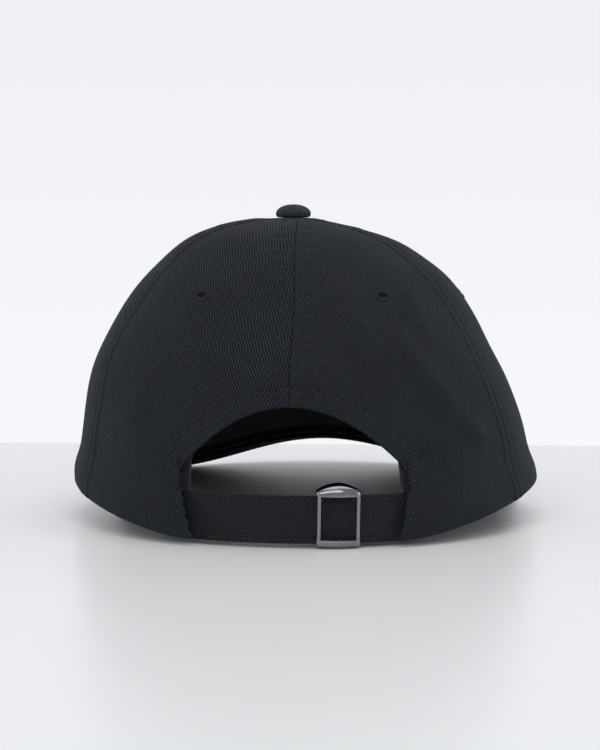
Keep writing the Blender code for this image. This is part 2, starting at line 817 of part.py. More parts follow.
def make_buckle():
    """The cast frame: two domed rails joined by two side bars, with a blind seat for the pin."""
    lip_reach = 0.5 * MM
    bottom_edge, top_edge = STRAP_BOTTOM - GAP, STRAP_TOP + GAP
    bottom_lip, top_lip = bottom_edge + 1.1 * MM, top_edge - lip_reach
    crest_low, crest_high = 0.05 * MM, top_edge + 4.0 * MM
    frame = make_rail("buckle_frame", top_edge, top_lip, crest_high, top_edge + 1.3 * MM)
    combine(frame, make_side_bar(1, bottom_lip - 0.8 * MM, top_lip + 0.8 * MM), "UNION")
    combine(frame, make_side_bar(-1, bottom_lip - 0.8 * MM, top_lip + 0.8 * MM), "UNION")
    combine(frame, make_rail("rail", bottom_edge, bottom_lip, crest_low, 0.5 * MM), "UNION")
    seat = BAR_RADIUS + GAP
    low_end, high_end = bottom_edge - 0.7 * MM, top_edge + 1.3 * MM
    combine(frame, rod("seat", seat, low_end, 9 * MM, "gunmetal", 16), "DIFFERENCE")
    combine(frame, rod("seat", seat, 12 * MM, high_end, "gunmetal", 16), "DIFFERENCE")
    place = Matrix.Translation(on_strap(BUCKLE_ANGLE, BAR_ORBIT, 0.0))
    place = place @ Matrix.Rotation(-BUCKLE_ANGLE, 4, "Z")
    frame.matrix_world = place
    bar_ends = (low_end + GAP, high_end - GAP)
    rod("buckle_centre_bar", BAR_RADIUS, *bar_ends, "gunmetal", 16, place)


def build():
    for old in list(bpy.data.objects):
        bpy.data.objects.remove(old)
    make_panels()
    make_tapes()
    make_stiffeners()
    make_facing()
    make_sweatband()
    make_visor()
    make_button()
    make_strap()
    make_tab()
    make_buckle()


build()
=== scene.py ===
"""The looks of a blue-black cotton twill baseball cap with a slide-buckle strap.

Each cloth node of the frame is replaced by a finer piece of the same size: panels with folded
edges, seams, creases and stitches, a stitched visor, a lined inside and a polished metal buckle.
Units are metres. The cap's back faces +Y, its visor -Y, and the wearer's left is +X. An azimuth
is measured from the back centre, +Y, towards +X.
"""

import math

import bmesh
import bpy
import numpy as np
from mathutils import Matrix, Vector

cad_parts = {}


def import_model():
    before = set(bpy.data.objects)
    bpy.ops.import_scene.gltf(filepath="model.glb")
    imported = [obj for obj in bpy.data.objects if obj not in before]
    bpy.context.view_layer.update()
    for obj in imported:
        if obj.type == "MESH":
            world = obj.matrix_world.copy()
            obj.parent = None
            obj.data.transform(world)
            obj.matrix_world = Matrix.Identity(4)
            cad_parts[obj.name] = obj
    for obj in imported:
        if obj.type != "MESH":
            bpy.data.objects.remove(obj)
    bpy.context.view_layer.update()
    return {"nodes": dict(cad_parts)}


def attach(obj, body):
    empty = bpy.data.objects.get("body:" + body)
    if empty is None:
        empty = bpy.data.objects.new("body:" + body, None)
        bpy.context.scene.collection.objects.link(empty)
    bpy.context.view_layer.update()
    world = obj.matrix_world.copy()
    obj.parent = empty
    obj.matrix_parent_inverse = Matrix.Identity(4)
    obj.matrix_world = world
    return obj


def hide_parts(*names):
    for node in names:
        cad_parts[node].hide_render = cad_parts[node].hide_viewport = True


MM = 0.001
RAD = math.pi / 180

# The crown, as in the frame
HALF_WIDTH = 90.5 * MM
BACK_DEPTH = 93.0 * MM
FRONT_DEPTH = 97.0 * MM
CROWN_TOP = 118.2 * MM
LEAN = 5.8 * MM
WAIST = 0.11
FULLNESS = 2.17
FRONT_FULLNESS = 2.5
ROLL = 0.5 * MM
SIDE_ROLL = 1.1 * MM
ROLL_HEIGHT = 5.0 * MM
ROLL_SPREAD = 6.0 * MM
BACK_LIFT = 2.2 * MM
SIDE_LIFT = 13.0 * MM
CONTACT_AZIMUTH = 25 * RAD
SIDE_AZIMUTH = 90 * RAD
BACK_SEAM = 64 * RAD
FRONT_SEAM = 122 * RAD
SEAMS = (0.0, BACK_SEAM, -BACK_SEAM, FRONT_SEAM, -FRONT_SEAM, math.pi, -math.pi)
SEAMS_OF = {
    "back": (0.0, BACK_SEAM),
    "side": (BACK_SEAM, FRONT_SEAM),
    "front": (FRONT_SEAM, math.pi),
}
TIP_RADIUS = 3.0 * MM
TWILL = 1.2 * MM
GAP = 0.3 * MM
ARCH_TOP = 49.5 * MM
ARCH_CORNER_HEIGHT = 27.0 * MM
ARCH_HALF_WIDTH = 41.2 * MM
OPENING_FOOT = 36.8 * MM
OPENING_BOW = 1.8
FAN_END = 42 * RAD

# Sweatband and visor, as in the frame
BAND_HEIGHT = 30.0 * MM
BAND_LOW = 2.0 * MM
BAND_THICKNESS = 1.4 * MM
BAND_INSET = 3.2 * MM
POCKET_INSET = 8.3 * MM
BAND_END = 29 * RAD
POCKET_END = 66 * RAD
POCKET_FADE = 85 * RAD
VISOR_HEIGHT = 24.1 * MM
VISOR_ARCH = 16.3 * MM
VISOR_ARCH_HALF = 86.0 * MM
VISOR_SLOPE = math.tan(6.8 * RAD)
VISOR_ROOT = 118 * RAD
VISOR_INNER = 4.0 * MM
VISOR_WIDEST_Y = -88.0 * MM
VISOR_HALF_WIDTH = 90.0 * MM
VISOR_REACH = 77.0 * MM
VISOR_RETURN = 93.0 * MM
VISOR_SWEEP = 113 * RAD
VISOR_SQUARENESS = 2.25
VISOR_THICKNESS = 4.2 * MM

# Strap and buckle, as in the frame
STRAP_AXIS_Y = 4.2 * MM
STRAP_OUTER = 84.5 * MM
STRAP_THICKNESS = 1.6 * MM
STRAP_BOTTOM = 1.5 * MM
STRAP_TOP = 18.7 * MM
STRAP_LEFT_END = 40 * RAD
STRAP_TAIL_END = -42 * RAD
BUCKLE_ANGLE = -10.3 * RAD
BAR_ORBIT = 80.5 * MM
BUCKLE_LEAN = -0.9 * RAD
BUCKLE_HALF_WIDTH = 7.8 * MM
RAIL_ARC = 25
RAIL_FRONT = 7.4 * MM
RAIL_BACK = -1.9 * MM
RAIL_LIP = 5.1 * MM
STRAP_SIDE = 4.6 * MM
TAB_OUTER = 82.6 * MM
TAB_INNER = 80.8 * MM
TAB_BOTTOM = 2.1 * MM
TAB_TOP = 18.1 * MM
TAB_END = -47 * RAD
TAB_LOOP = 2.0 * MM
TAB_ROUNDING = 0.6 * MM
SIDE_BAR_X = 7.0 * MM
SIDE_BAR_Y = 5.62 * MM
SIDE_BAR_HALF = (0.64 * MM, 0.50 * MM)

# Button, eyelets and inner pieces
BUTTON_RADIUS = 6.9 * MM
BUTTON_SEAT = 0.05 * MM
BUTTON_HEIGHT = 5.25 * MM
BUTTON_SHOULDER = 1.6 * MM
EYELET_HEIGHT = 88.5 * MM
EYELET_RADIUS = 2.55 * MM
EYELET_THREAD = 1.05 * MM
EYELET_SEAT = 0.65 * MM
EYELET_FLATNESS = 0.74
EYELET_TURNS = 46
TAPE_DEPTH = TWILL + GAP * 0.9
TAPE_THICKNESS = 0.55 * MM
TAPE_HALF_WIDTH = 7 * MM
FACING_THICKNESS = 0.6 * MM
BUCKRAM_THICKNESS = 0.7 * MM
LINING_START = 15 * MM
STIFFENER_TOP = 95 * MM

# How the soft crown has settled
SIDE_SHIFT = 1.3
SLIP = 2.6 * MM

# Sewing
TOPSTITCH = 4.8 * MM
HEM_STITCH = 6.3 * MM
EDGE_STITCH = 2.3 * MM
STITCH_PITCH = 3.0 * MM
STITCH_LENGTH = 2.35 * MM
THREAD_RADIUS = 0.24 * MM
STRAP_STITCH = 1.6 * MM
BAND_STITCHES = (BAND_HEIGHT - 4 * MM, 3 * MM)
VISOR_STITCH_SEAT = 0.25 * MM
ROWS_FROM_EDGE = [distance * MM for distance in (5, 11, 17, 23, 29, 35, 41, 47)]
STITCH_PROFILE = np.array([-1.0, -0.86, -0.5, 0.0, 0.5, 0.86, 1.0])
STITCH_RING = 6
RIB_PITCH = 0.95 * MM
RIB_TILT = 30 * RAD

# The photograph's view
VIEW_DISTANCE = 700 * MM
VIEW_HEIGHT = 105.3 * MM
VIEW_TURN = 2.9 * RAD
VIEW_PAN = 0.26 * RAD
VIEW_PITCH = 4.10 * RAD
LENS = 83.8
TABLE_EDGE_Y = -244 * MM


def smooth(low, high, value):
    """0 before low, 1 after high, and a smooth step between them."""
    t = np.clip((value - low) / (high - low), 0.0, 1.0)
    return t * t * (3 - 2 * t)


def bell(value, middle, spread):
    return np.exp(-(((value - middle) / spread) ** 2))


def mix(a, b, t):
    return a + (b - a) * t


# The crown's surface


def visor_top(x, y):
    """Height of the visor's top surface: arched across, sloping down towards the front."""
    arch = VISOR_ARCH * np.sin(math.pi / 2 * x / VISOR_ARCH_HALF) ** 2
    return VISOR_HEIGHT - arch + (y + FRONT_DEPTH) * VISOR_SLOPE


def edge_height(azimuth):
    """Height of the crown's bottom edge, which lifts at the sides and follows the visor in front."""
    side = np.abs(azimuth)
    turned = np.clip((side - CONTACT_AZIMUTH) / (SIDE_AZIMUTH - CONTACT_AZIMUTH), 0.0, 1.0)
    lifted = BACK_LIFT + SIDE_LIFT * np.sin(math.pi / 2 * turned) ** 1.5
    at_visor = visor_top(HALF_WIDTH * np.sin(side), FRONT_DEPTH * np.cos(side)) + GAP
    return mix(lifted, at_visor, smooth(SIDE_AZIMUTH, VISOR_ROOT, side))


def fullness(azimuth):
    return mix(FULLNESS, FRONT_FULLNESS, smooth(SIDE_AZIMUTH, math.pi, np.abs(azimuth)))


def reach_and_lift(azimuth, rise):
    angle = np.clip(rise, 0.0, 1.0) * math.pi / 2
    power = 2 / fullness(azimuth)
    lift = np.sin(angle) ** power
    return np.maximum(np.cos(angle), 1e-9) ** power * (1 - WAIST * lift * (1 - lift)), lift


def rise_at(azimuth, height):
    low = edge_height(azimuth)
    share = np.clip((height - low) / (CROWN_TOP - low), 0.0, 1.0)
    return np.arcsin(share ** (fullness(azimuth) / 2)) * 2 / math.pi


def rise_at_radius(azimuth, radius):
    return np.arccos((radius / HALF_WIDTH) ** (fullness(azimuth) / 2)) * 2 / math.pi


def crown_point(azimuth, rise, rolled=True):
    reach, lift = reach_and_lift(azimuth, rise)
    low = edge_height(azimuth)
    height = mix(low, CROWN_TOP, lift)
    roll = 0.0
    if rolled:
        size = ROLL + SIDE_ROLL * np.sin(azimuth) ** 4
        roll = size * np.exp(-(((height - low - ROLL_HEIGHT) / ROLL_SPREAD) ** 2))
    depth = np.where(np.cos(azimuth) > 0, BACK_DEPTH, FRONT_DEPTH)
    x = (HALF_WIDTH * reach + roll) * np.sin(azimuth) + LEAN * lift
    y = (depth * reach + roll) * np.cos(azimuth)
    return np.stack([x, y, height], -1)


def crown_normal(azimuth, rise, rolled=True):
    step = 0.002
    low, high = np.maximum(0.0, rise - step), np.minimum(0.995, rise + step)
    low = np.minimum(low, 0.99)
    along = crown_point(azimuth, high, rolled) - crown_point(azimuth, low, rolled)
    across = crown_point(azimuth + step, rise, rolled) - crown_point(azimuth - step, rise, rolled)
    normal = np.cross(along, across)
    return normal / np.maximum(np.linalg.norm(normal, axis=-1, keepdims=True), 1e-12)


def on_back(x, height):
    """The azimuth and rise of the back's point at this x, before the crown leans, and height."""
    rise = rise_at(np.zeros_like(x), height)
    reach, _ = reach_and_lift(np.zeros_like(x), rise)
    return np.arcsin(np.clip(x / (HALF_WIDTH * reach), -1, 1)), rise


def arch_height(x):
    return ARCH_TOP - (ARCH_TOP - ARCH_CORNER_HEIGHT) * (x / ARCH_HALF_WIDTH) ** 2


def seam_distance(azimuth, rise):
    """How far a point is from the nearest seam, along the crown."""
    reach, _ = reach_and_lift(azimuth, rise)
    nearest = np.min([np.abs(azimuth - seam) for seam in SEAMS], axis=0)
    return nearest * HALF_WIDTH * reach


def path_distance(x, z, path):
    """Distance in the back's plane from each point to a line through the path's points."""
    found = np.full(x.shape, np.inf)
    for (x0, z0), (x1, z1) in zip(path[:-1], path[1:]):
        dx, dz = x1 - x0, z1 - z0
        t = np.clip(((x - x0) * dx + (z - z0) * dz) / (dx * dx + dz * dz), 0.0, 1.0)
        found = np.minimum(found, np.hypot(x - x0 - t * dx, z - z0 - t * dz))
    return found


def arch_path():
    x = np.linspace(-ARCH_HALF_WIDTH, ARCH_HALF_WIDTH, 33)
    return list(zip(x, arch_height(x)))


def side_line(share):
    """The opening's side from the arch's corner down to the hem, bowed as the cloth hangs."""
    x = mix(ARCH_HALF_WIDTH, OPENING_FOOT, share**OPENING_BOW)
    return x, mix(ARCH_CORNER_HEIGHT, BACK_LIFT, share)


def side_path(sign):
    x, z = side_line(np.linspace(0, 1, 9))
    return list(zip(sign * x, z))


def crease(x, z, path, width, size):
    """A soft ridge along a path that fades out at both ends."""
    ends = [np.hypot(x - px, z - pz) for px, pz in (path[0], path[-1])]
    fade = smooth(0.0, 12 * MM, np.minimum(*ends))
    return size * np.exp(-((path_distance(x, z, path) / width) ** 2)) * fade


def hollow(x, z, place, spread, size):
    """A soft dent with its own width and height."""
    return -size * np.exp(-(((x - place[0]) / spread[0]) ** 2 + ((z - place[1]) / spread[1]) ** 2))


def sewing_relief(azimuth, rise, x, z, at_back):
    """What seams and hems do to the cloth: raised allowances, drawn-in stitch rows, puckers."""
    seam = seam_distance(azimuth, rise)
    along = z / MM
    relief = 0.30 * MM * (1 - smooth(4.4 * MM, 6.4 * MM, seam))
    relief -= 0.58 * MM * bell(seam, TOPSTITCH, 0.65 * MM)
    pucker = np.sin(along * 2.05 + 1.6 * np.sin(along * 0.21 + azimuth * 3))
    relief += 0.16 * MM * pucker * bell(seam, TOPSTITCH, 2.8 * MM)
    arch = np.where(at_back, path_distance(x, z, arch_path()), 1.0)
    sides = [path_distance(x, z, side_path(s)) for s in (-1, 1)]
    side = np.where(at_back, np.minimum(*sides), 1.0)
    relief += 0.28 * MM * (1 - smooth(5.4 * MM, 7.4 * MM, arch))
    relief -= 0.58 * MM * bell(arch, HEM_STITCH, 0.65 * MM)
    relief += 0.12 * MM * np.sin(x / MM * 2.0) * bell(arch, HEM_STITCH, 2.4 * MM)
    relief -= 0.42 * MM * bell(side, EDGE_STITCH, 0.6 * MM)
    return relief


def body_relief(azimuth, x, y, z):
    """How the soft crown departs from its even shape: waves, creases, dents and fuller sides."""
    waves = 0.35 * MM * np.sin(x / (11 * MM) + 1.3) * np.sin(z / (13 * MM) + y / (17 * MM))
    waves += 0.25 * MM * np.sin(x / (7 * MM) - z / (9 * MM) + 2.1) * np.sin(y / (10 * MM) + 0.4)
    back = smooth(0.1, 0.5, np.cos(azimuth))
    right = [(-36 * MM, 80 * MM), (-49 * MM, 61 * MM), (-60 * MM, 46 * MM), (-74 * MM, 30 * MM)]
    upper = [(-40 * MM, 96 * MM), (-47 * MM, 82 * MM), (-56 * MM, 64 * MM)]
    left = [(49 * MM, 57 * MM), (57 * MM, 47 * MM), (66 * MM, 34 * MM)]
    folds = crease(x, z, right, 4.2 * MM, 1.15 * MM)
    folds += crease(x, z, upper, 3.4 * MM, 0.7 * MM)
    folds += crease(x, z, left, 5.0 * MM, 0.7 * MM)
    folds += hollow(x, z, (-47 * MM, 48 * MM), (12 * MM, 9 * MM), 1.0 * MM)
    folds += hollow(x, z, (-46 * MM, 31 * MM), (9 * MM, 3.6 * MM), 0.8 * MM)
    folds += hollow(x, z, (49 * MM, 27 * MM), (8 * MM, 5 * MM), 0.5 * MM)
    sides = np.sin(azimuth) ** 2
    on_left = 0.6 * bell(z, 108 * MM, 6 * MM) - 1.3 * bell(z, 88 * MM, 14 * MM)
    on_left += 0.7 * bell(z, 60 * MM, 14 * MM) + 0.9 * bell(z, 11 * MM, 7 * MM)
    on_right = 1.0 * bell(z, 96 * MM, 9 * MM) + 1.1 * bell(z, 109 * MM, 6 * MM)
    on_right += 1.1 * bell(z, 34 * MM, 14 * MM) - 0.9 * bell(z, 69 * MM, 10 * MM)
    on_right += 1.8 * bell(z, 12 * MM, 8 * MM)
    shape = (np.where(x > 0, on_left, on_right) + SIDE_SHIFT * np.sign(x)) * sides * MM
    shape *= smooth(0.0, 25 * MM, np.abs(x))
    shape -= 0.5 * MM * smooth(115 * MM, 118 * MM, z)
    return waves * smooth(4 * MM, 30 * MM, z) + folds * 1.4 * back + shape


def relief_at(azimuth, rise, point):
    _, lift = reach_and_lift(azimuth, rise)
    x = point[..., 0] - LEAN * lift
    y, z = point[..., 1], point[..., 2]
    at_back = np.abs(azimuth) < BACK_SEAM
    relief = body_relief(azimuth, x, y, z) + sewing_relief(azimuth, rise, x, z, at_back)
    return relief * smooth(8 * MM, 16 * MM, np.hypot(x, y))


def wandered(azimuth, rise):
    """The azimuth at which the cloth lies: the upper back has slipped towards the wearer's right."""
    reach, lift = reach_and_lift(azimuth, rise)
    slip = SLIP * smooth(0.45, 0.75, lift) * smooth(0.10, 0.22, reach)
    turn = slip / (HALF_WIDTH * np.maximum(reach, 0.1))
    return azimuth - turn * smooth(62 * RAD, 5 * RAD, np.abs(azimuth))


def on_cloth(azimuth, rise, depth=0.0):
    """Points this far beneath the cloth's outer face, and the surface's normals there."""
    azimuth, rise = np.broadcast_arrays(np.asarray(azimuth, float), np.asarray(rise, float))
    placed = wandered(azimuth, rise)
    point = crown_point(placed, rise)
    normal = crown_normal(placed, rise)
    out = relief_at(azimuth, rise, point) - depth
    return point + normal * out[..., None], normal


def meridian_length(azimuth):
    """A function from rise to the length of the meridian below it."""
    rises = np.linspace(0.0, 1.0, 400)
    points = crown_point(np.full(400, azimuth), rises)
    steps = np.linalg.norm(np.diff(points, axis=0), axis=1)
    lengths = np.concatenate([[0.0], np.cumsum(steps)])
    return lambda rise: np.interp(rise, rises, lengths)


# Materials


def scaled(colour, factors):
    return (*np.multiply(colour, factors), 1)


class Shader:
    """A material's node tree, with short calls for the nodes that the looks are made of."""

    def __init__(self, name):
        self.material = bpy.data.materials.new(name)
        self.material.use_nodes = True
        self.tree = self.material.node_tree
        self.surface = self.tree.nodes["Principled BSDF"]

    def node(self, kind, settings=(), **inputs):
        made = self.tree.nodes.new(kind)
        for key, value in dict(settings).items():
            setattr(made, key, value)
        for key, value in inputs.items():
            self.put(made.inputs[int(key[1:]) if key[0] == "i" else key], value)
        return made

    def put(self, socket, value):
        if isinstance(value, bpy.types.NodeSocket):
            self.tree.links.new(value, socket)
        else:
            socket.default_value = value

    def math(self, operation, a, b=0.0, c=0.0):
        made = self.node("ShaderNodeMath", {"operation": operation}, i0=a, i1=b, i2=c)
        return made.outputs[0]

    def wave(self, phase):
        """A cosine from 0 to 1 with a period of 1."""
        turned = self.math("COSINE", self.math("MULTIPLY", phase, 2 * math.pi))
        return self.math("MULTIPLY_ADD", turned, 0.5, 0.5)

    def noise(self, vector, scale, detail=2.0, stretch=None):
        if stretch:
            moved = self.node("ShaderNodeVectorMath", {"operation": "MULTIPLY"}, i0=vector)
            moved.inputs[1].default_value = stretch
            vector = moved.outputs[0]
        made = self.node("ShaderNodeTexNoise")
        self.put(made.inputs["Vector"], vector)
        made.inputs["Scale"].default_value = scale
        made.inputs["Detail"].default_value = detail
        return made.outputs["Fac"]

    def blend(self, factor, a, b):
        made = self.node("ShaderNodeMix", {"data_type": "RGBA"})
        self.put(made.inputs["Factor"], factor)
        self.put(made.inputs["A"], a)
        self.put(made.inputs["B"], b)
        return made.outputs["Result"]

    def span(self, value, low, high, to_low=0.0, to_high=1.0):
        made = self.node("ShaderNodeMapRange")
        self.put(made.inputs["Value"], value)
        for key, number in (("From Min", low), ("From Max", high)):
            made.inputs[key].default_value = number
        made.inputs["To Min"].default_value = to_low
        made.inputs["To Max"].default_value = to_high
        return made.outputs["Result"]

    def bump(self, height, distance, strength=1.0):
        made = self.node("ShaderNodeBump")
        made.inputs["Strength"].default_value = strength
        made.inputs["Distance"].default_value = distance
        self.put(made.inputs["Height"], height)
        return made.outputs["Normal"]

    def cloth(self):
        """The cloth's own coordinates in millimetres: across the grain, along it, and layer."""
        made = self.node("ShaderNodeAttribute", {"attribute_name": "cloth"})
        return made.outputs["Vector"]

    def object_place(self):
        return self.node("ShaderNodeTexCoord").outputs["Object"]

    def axes(self, vector):
        made = self.node("ShaderNodeSeparateXYZ", i0=vector)
        return made.outputs[0], made.outputs[1]

    def set(self, **values):
        names = {
            "colour": "Base Color",
            "roughness": "Roughness",
            "metallic": "Metallic",
            "specular": "Specular IOR Level",
            "sheen": "Sheen Weight",
            "sheen_roughness": "Sheen Roughness",
            "sheen_tint": "Sheen Tint",
            "normal": "Normal",
        }
        for key, value in values.items():
            self.put(self.surface.inputs[names[key]], value)
        return self.material


def twill_material(name, colour, pitch=RIB_PITCH / MM, tilt=RIB_TILT, depth=0.2 * MM):
    """Diagonal ribs made of short warp floats, with slubs, fading, a little lint, and painted shade in
    the rib valleys with painted highlight on the rib crests.
    """
    s = Shader(name)
    cloth = s.cloth()
    across, along = s.axes(cloth)
    wobble = s.noise(cloth, 0.16, 2.0)
    fine = s.noise(cloth, 0.9, 2.0)
    tilted = s.math("MULTIPLY", across, math.cos(tilt))
    rib = s.math("MULTIPLY_ADD", along, -math.sin(tilt), tilted)
    rib = s.math("MULTIPLY", rib, 1 / pitch)
    rib = s.math("MULTIPLY_ADD", wobble, 0.9, rib)
    rib = s.math("MULTIPLY_ADD", fine, 0.22, rib)
    leaning = s.math("MULTIPLY", across, math.sin(tilt))
    length = s.math("MULTIPLY_ADD", along, math.cos(tilt), leaning)
    row = s.math("FLOOR", s.math("ADD", rib, 0.5))
    floats = s.math("MULTIPLY", length, 1 / (1.05 * pitch))
    float_phase = s.math("MULTIPLY_ADD", row, 0.37, floats)
    ridge = s.math("POWER", s.wave(rib), 1.15)
    grain = s.math("MULTIPLY_ADD", s.wave(float_phase), 0.34, 0.66)
    slub = s.span(s.noise(cloth, 1.0, 2.0, (1.0, 0.3, 1.0)), 0.35, 0.65, 0.75, 1.05)
    fibre = s.noise(cloth, 7.0, 2.0)
    height = s.math("MULTIPLY", s.math("MULTIPLY", ridge, grain), slub)
    height = s.math("MULTIPLY_ADD", fibre, 0.16, height)
    # Painted shade and highlight: rib valleys are painted near-black and rib crests painted light,
    # following the ribs' height.
    dark, light = scaled(colour, (0.06, 0.06, 0.07)), scaled(colour, (3.05, 3.02, 2.88))
    shade = s.span(height, 0.12, 0.95)
    faded = s.span(s.noise(cloth, 0.035, 4.0), 0.3, 0.7, 0.86, 1.12)
    tone = s.blend(shade, dark, light)
    tone = s.node("ShaderNodeVectorMath", {"operation": "SCALE"}, i0=tone, i3=faded).outputs[0]
    lint = s.span(s.noise(cloth, 1.9, 1.0), 0.79, 0.84, 0.0, 0.35)
    tone = s.blend(lint, tone, (0.08, 0.085, 0.095, 1))
    normal = s.bump(height, depth)
    s.set(colour=tone, roughness=0.8, specular=0.16, normal=normal)
    s.set(sheen=0.025, sheen_roughness=0.4, sheen_tint=(0.72, 0.86, 1.0, 1))
    return s.material


def lining_material(name, colour, pitch=0.55):
    """A plain weave: over and under in both directions."""
    s = Shader(name)
    cloth = s.cloth()
    across, along = s.axes(cloth)
    warp = s.wave(s.math("MULTIPLY", across, 1 / pitch))
    weft = s.wave(s.math("MULTIPLY", along, 1 / pitch))
    height = s.math("MULTIPLY", s.math("ADD", warp, weft), 0.5)
    height = s.math("MULTIPLY_ADD", s.noise(cloth, 5.0, 2.0), 0.3, height)
    # Painted shade and highlight: the weave's hollows are painted darker and its raised crossings
    # lighter, following its height.
    tone = s.blend(s.span(height, 0.1, 1.1), scaled(colour, 0.5), scaled(colour, 1.3))
    s.set(colour=tone, roughness=0.9, specular=0.15, normal=s.bump(height, 0.08 * MM))
    s.set(sheen=0.03, sheen_roughness=0.5, sheen_tint=(0.8, 0.88, 1.0, 1))
    return s.material


def thread_material(name, colour):
    """Twisted sewing thread. Its own coordinates run along and round it, in millimetres."""
    s = Shader(name)
    cloth = s.cloth()
    across, along = s.axes(cloth)
    twist = s.wave(s.math("MULTIPLY_ADD", along, 1.6, s.math("MULTIPLY", across, 2.0)))
    # Painted shade and highlight: the twist's grooves are painted darker and its ridges lighter.
    tone = s.blend(twist, scaled(colour, 0.6), scaled(colour, 1.4))
    s.set(colour=tone, roughness=0.6, specular=0.22, normal=s.bump(twist, 0.05 * MM))
    s.set(sheen=0.03, sheen_roughness=0.4, sheen_tint=(0.8, 0.88, 1.0, 1))
    return s.material


def metal_material(name, colour, roughness):
    """Polished plate with fine rubbing marks and slightly duller patches."""
    s = Shader(name)
    place = s.object_place()
    patches = s.noise(place, 420.0, 3.0)
    scratches = s.noise(place, 900.0, 2.0, (1.0, 1.0, 0.12))
    dull = s.span(patches, 0.35, 0.7, roughness * 0.75, roughness * 1.5)
    worn = tuple(min(1.0, part * 1.5) for part in colour) + (1,)
    tone = s.blend(s.span(patches, 0.45, 0.75, 0.0, 0.35), (*colour, 1), worn)
    s.set(colour=tone, roughness=dull, metallic=1.0)
    s.set(normal=s.bump(scratches, 0.01 * MM, 0.35))
    return s.material


def board_material():
    """The visor's moulded board."""
    s = Shader("board")
    place = s.object_place()
    grain = s.noise(place, 900.0, 3.0)
    tone = s.blend(grain, (0.70, 0.70, 0.68, 1), (0.78, 0.78, 0.75, 1))
    s.set(colour=tone, roughness=0.55, normal=s.bump(grain, 0.05 * MM, 0.4))
    return s.material


def make_materials():
    black = (0.0101, 0.0121, 0.0160)
    strap_black = (0.0112, 0.0123, 0.0149)
    # Painted light: the button's cloth is made lighter than the crown's black, standing in for the
    # light falling on its top.
    button_painted_light_black = (0.026, 0.0302, 0.0375)
    # Painted light: the sweatband's colour is raised well above black cloth, standing in for light
    # inside the crown.
    band_black = (0.056, 0.058, 0.063)
    return {
        "twill": twill_material("twill", black),
        "button_twill": twill_material("button_twill", button_painted_light_black, 0.7, depth=0.08 * MM),
        "strap_twill": twill_material("strap_twill", strap_black, 0.9, 60 * RAD),
        "band": twill_material("band", band_black, 0.6, depth=0.07 * MM),
        # Painted light: the tape's and buckram's colours are raised too, standing in for light inside
        # the crown.
        "tape": lining_material("tape", (0.034, 0.036, 0.041), 0.5),
        "buckram": lining_material("buckram", (0.09, 0.092, 0.095), 1.1),
        "thread": thread_material("thread", (0.0215, 0.0245, 0.0295)),
        "eyelet_thread": thread_material("eyelet_thread", (0.0155, 0.0175, 0.021)),
        # Painted shade: a near-black cloth for the discs that read as the eyelets' dark holes.
        "hole": lining_material("hole", (0.0015, 0.0015, 0.0018)),
        "board": board_material(),
        "gunmetal": metal_material("gunmetal", (0.23, 0.23, 0.234), 0.12),
        "steel": metal_material("steel", (0.5, 0.5, 0.5), 0.3),
    }


# Meshes


def make_piece(name, points, faces, cloth, material, body="cap", smooth_angle=50):
    mesh = bpy.data.meshes.new(name)
    mesh.from_pydata(np.asarray(points, float).tolist(), [], [list(map(int, f)) for f in faces])
    mesh.materials.append(material)
    if cloth is not None:
        held = mesh.attributes.new("cloth", "FLOAT_VECTOR", "POINT")
        held.data.foreach_set("vector", np.asarray(cloth, np.float32).ravel())
    mesh.shade_smooth()
    mesh.set_sharp_from_angle(angle=math.radians(smooth_angle))
    made = bpy.data.objects.new(name, mesh)
    bpy.context.scene.collection.objects.link(made)
    bpy.context.view_layer.update()
    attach(made, body)
    return made


def grid_faces(rows, columns, start=0, flip=False, wrap=False):
    r = np.arange(rows - 1)[:, None]
    c = np.arange(columns if wrap else columns - 1)[None, :]
    following = (c + 1) % columns
    corners = [r * columns + c, r * columns + following]
    corners += [(r + 1) * columns + following, (r + 1) * columns + c]
    faces = np.stack(corners, -1).reshape(-1, 4) + start
    return faces[:, ::-1] if flip else faces


def rim(rows, columns):
    bottom = np.arange(columns)
    right = np.arange(1, rows) * columns + columns - 1
    top = (rows - 1) * columns + np.arange(columns - 2, -1, -1)
    left = np.arange(rows - 2, 0, -1) * columns
    return np.concatenate([bottom, right, top, left])


def lofted(rings):
    """The vertices and faces of a solid through rings, with flat ends."""
    rows, columns = rings.shape[:2]
    faces = grid_faces(rows, columns, wrap=True).tolist()
    faces.append(list(range(columns))[::-1])
    faces.append(list(range((rows - 1) * columns, rows * columns)))
    return rings.reshape(-1, 3), faces


def grain(across, along, layer=0):
    """The cloth's own coordinates, which the materials draw threads in."""
    return np.stack(np.broadcast_arrays(across / MM, along / MM, layer), -1)


def sheet(name, outer, inner, cloth, material, body="cap", flip=False):
    """A closed sheet between two grids of the same shape. cloth holds its grain coordinates."""
    rows, columns = outer.shape[:2]
    start = rows * columns
    points = np.concatenate([outer.reshape(-1, 3), inner.reshape(-1, 3)])
    edge = rim(rows, columns)
    following = np.roll(edge, -1)
    sides = np.stack([following, edge, edge + start, following + start], -1)
    faces = [grid_faces(rows, columns), grid_faces(rows, columns, start, flip=True), sides]
    faces = np.concatenate(faces)
    if flip:
        faces = faces[:, ::-1]
    flat = np.asarray(cloth, float).reshape(-1, 3)
    under = flat + (0, 0, 1)
    return make_piece(name, points, faces, np.concatenate([flat, under]), material, body)


def rounding(distance, radius):
    """How far a face is drawn in towards the middle of the sheet near its folded edge."""
    short = np.clip(radius - distance, 0.0, radius)
    return radius - np.sqrt(np.maximum(radius**2 - short**2, 0.0))


def eased(fine, coarse, width, total):
    """Positions from 0 to total: rounding steps at the edge, then fine, then coarse ones."""
    edge = np.array([0.0, 0.06, 0.2, 0.42, 0.7]) * MM
    near = np.arange(1.0 * MM, width, fine)
    count = max(2, int((total - width) / coarse))
    return np.concatenate([edge, near, np.linspace(width, total, count)])


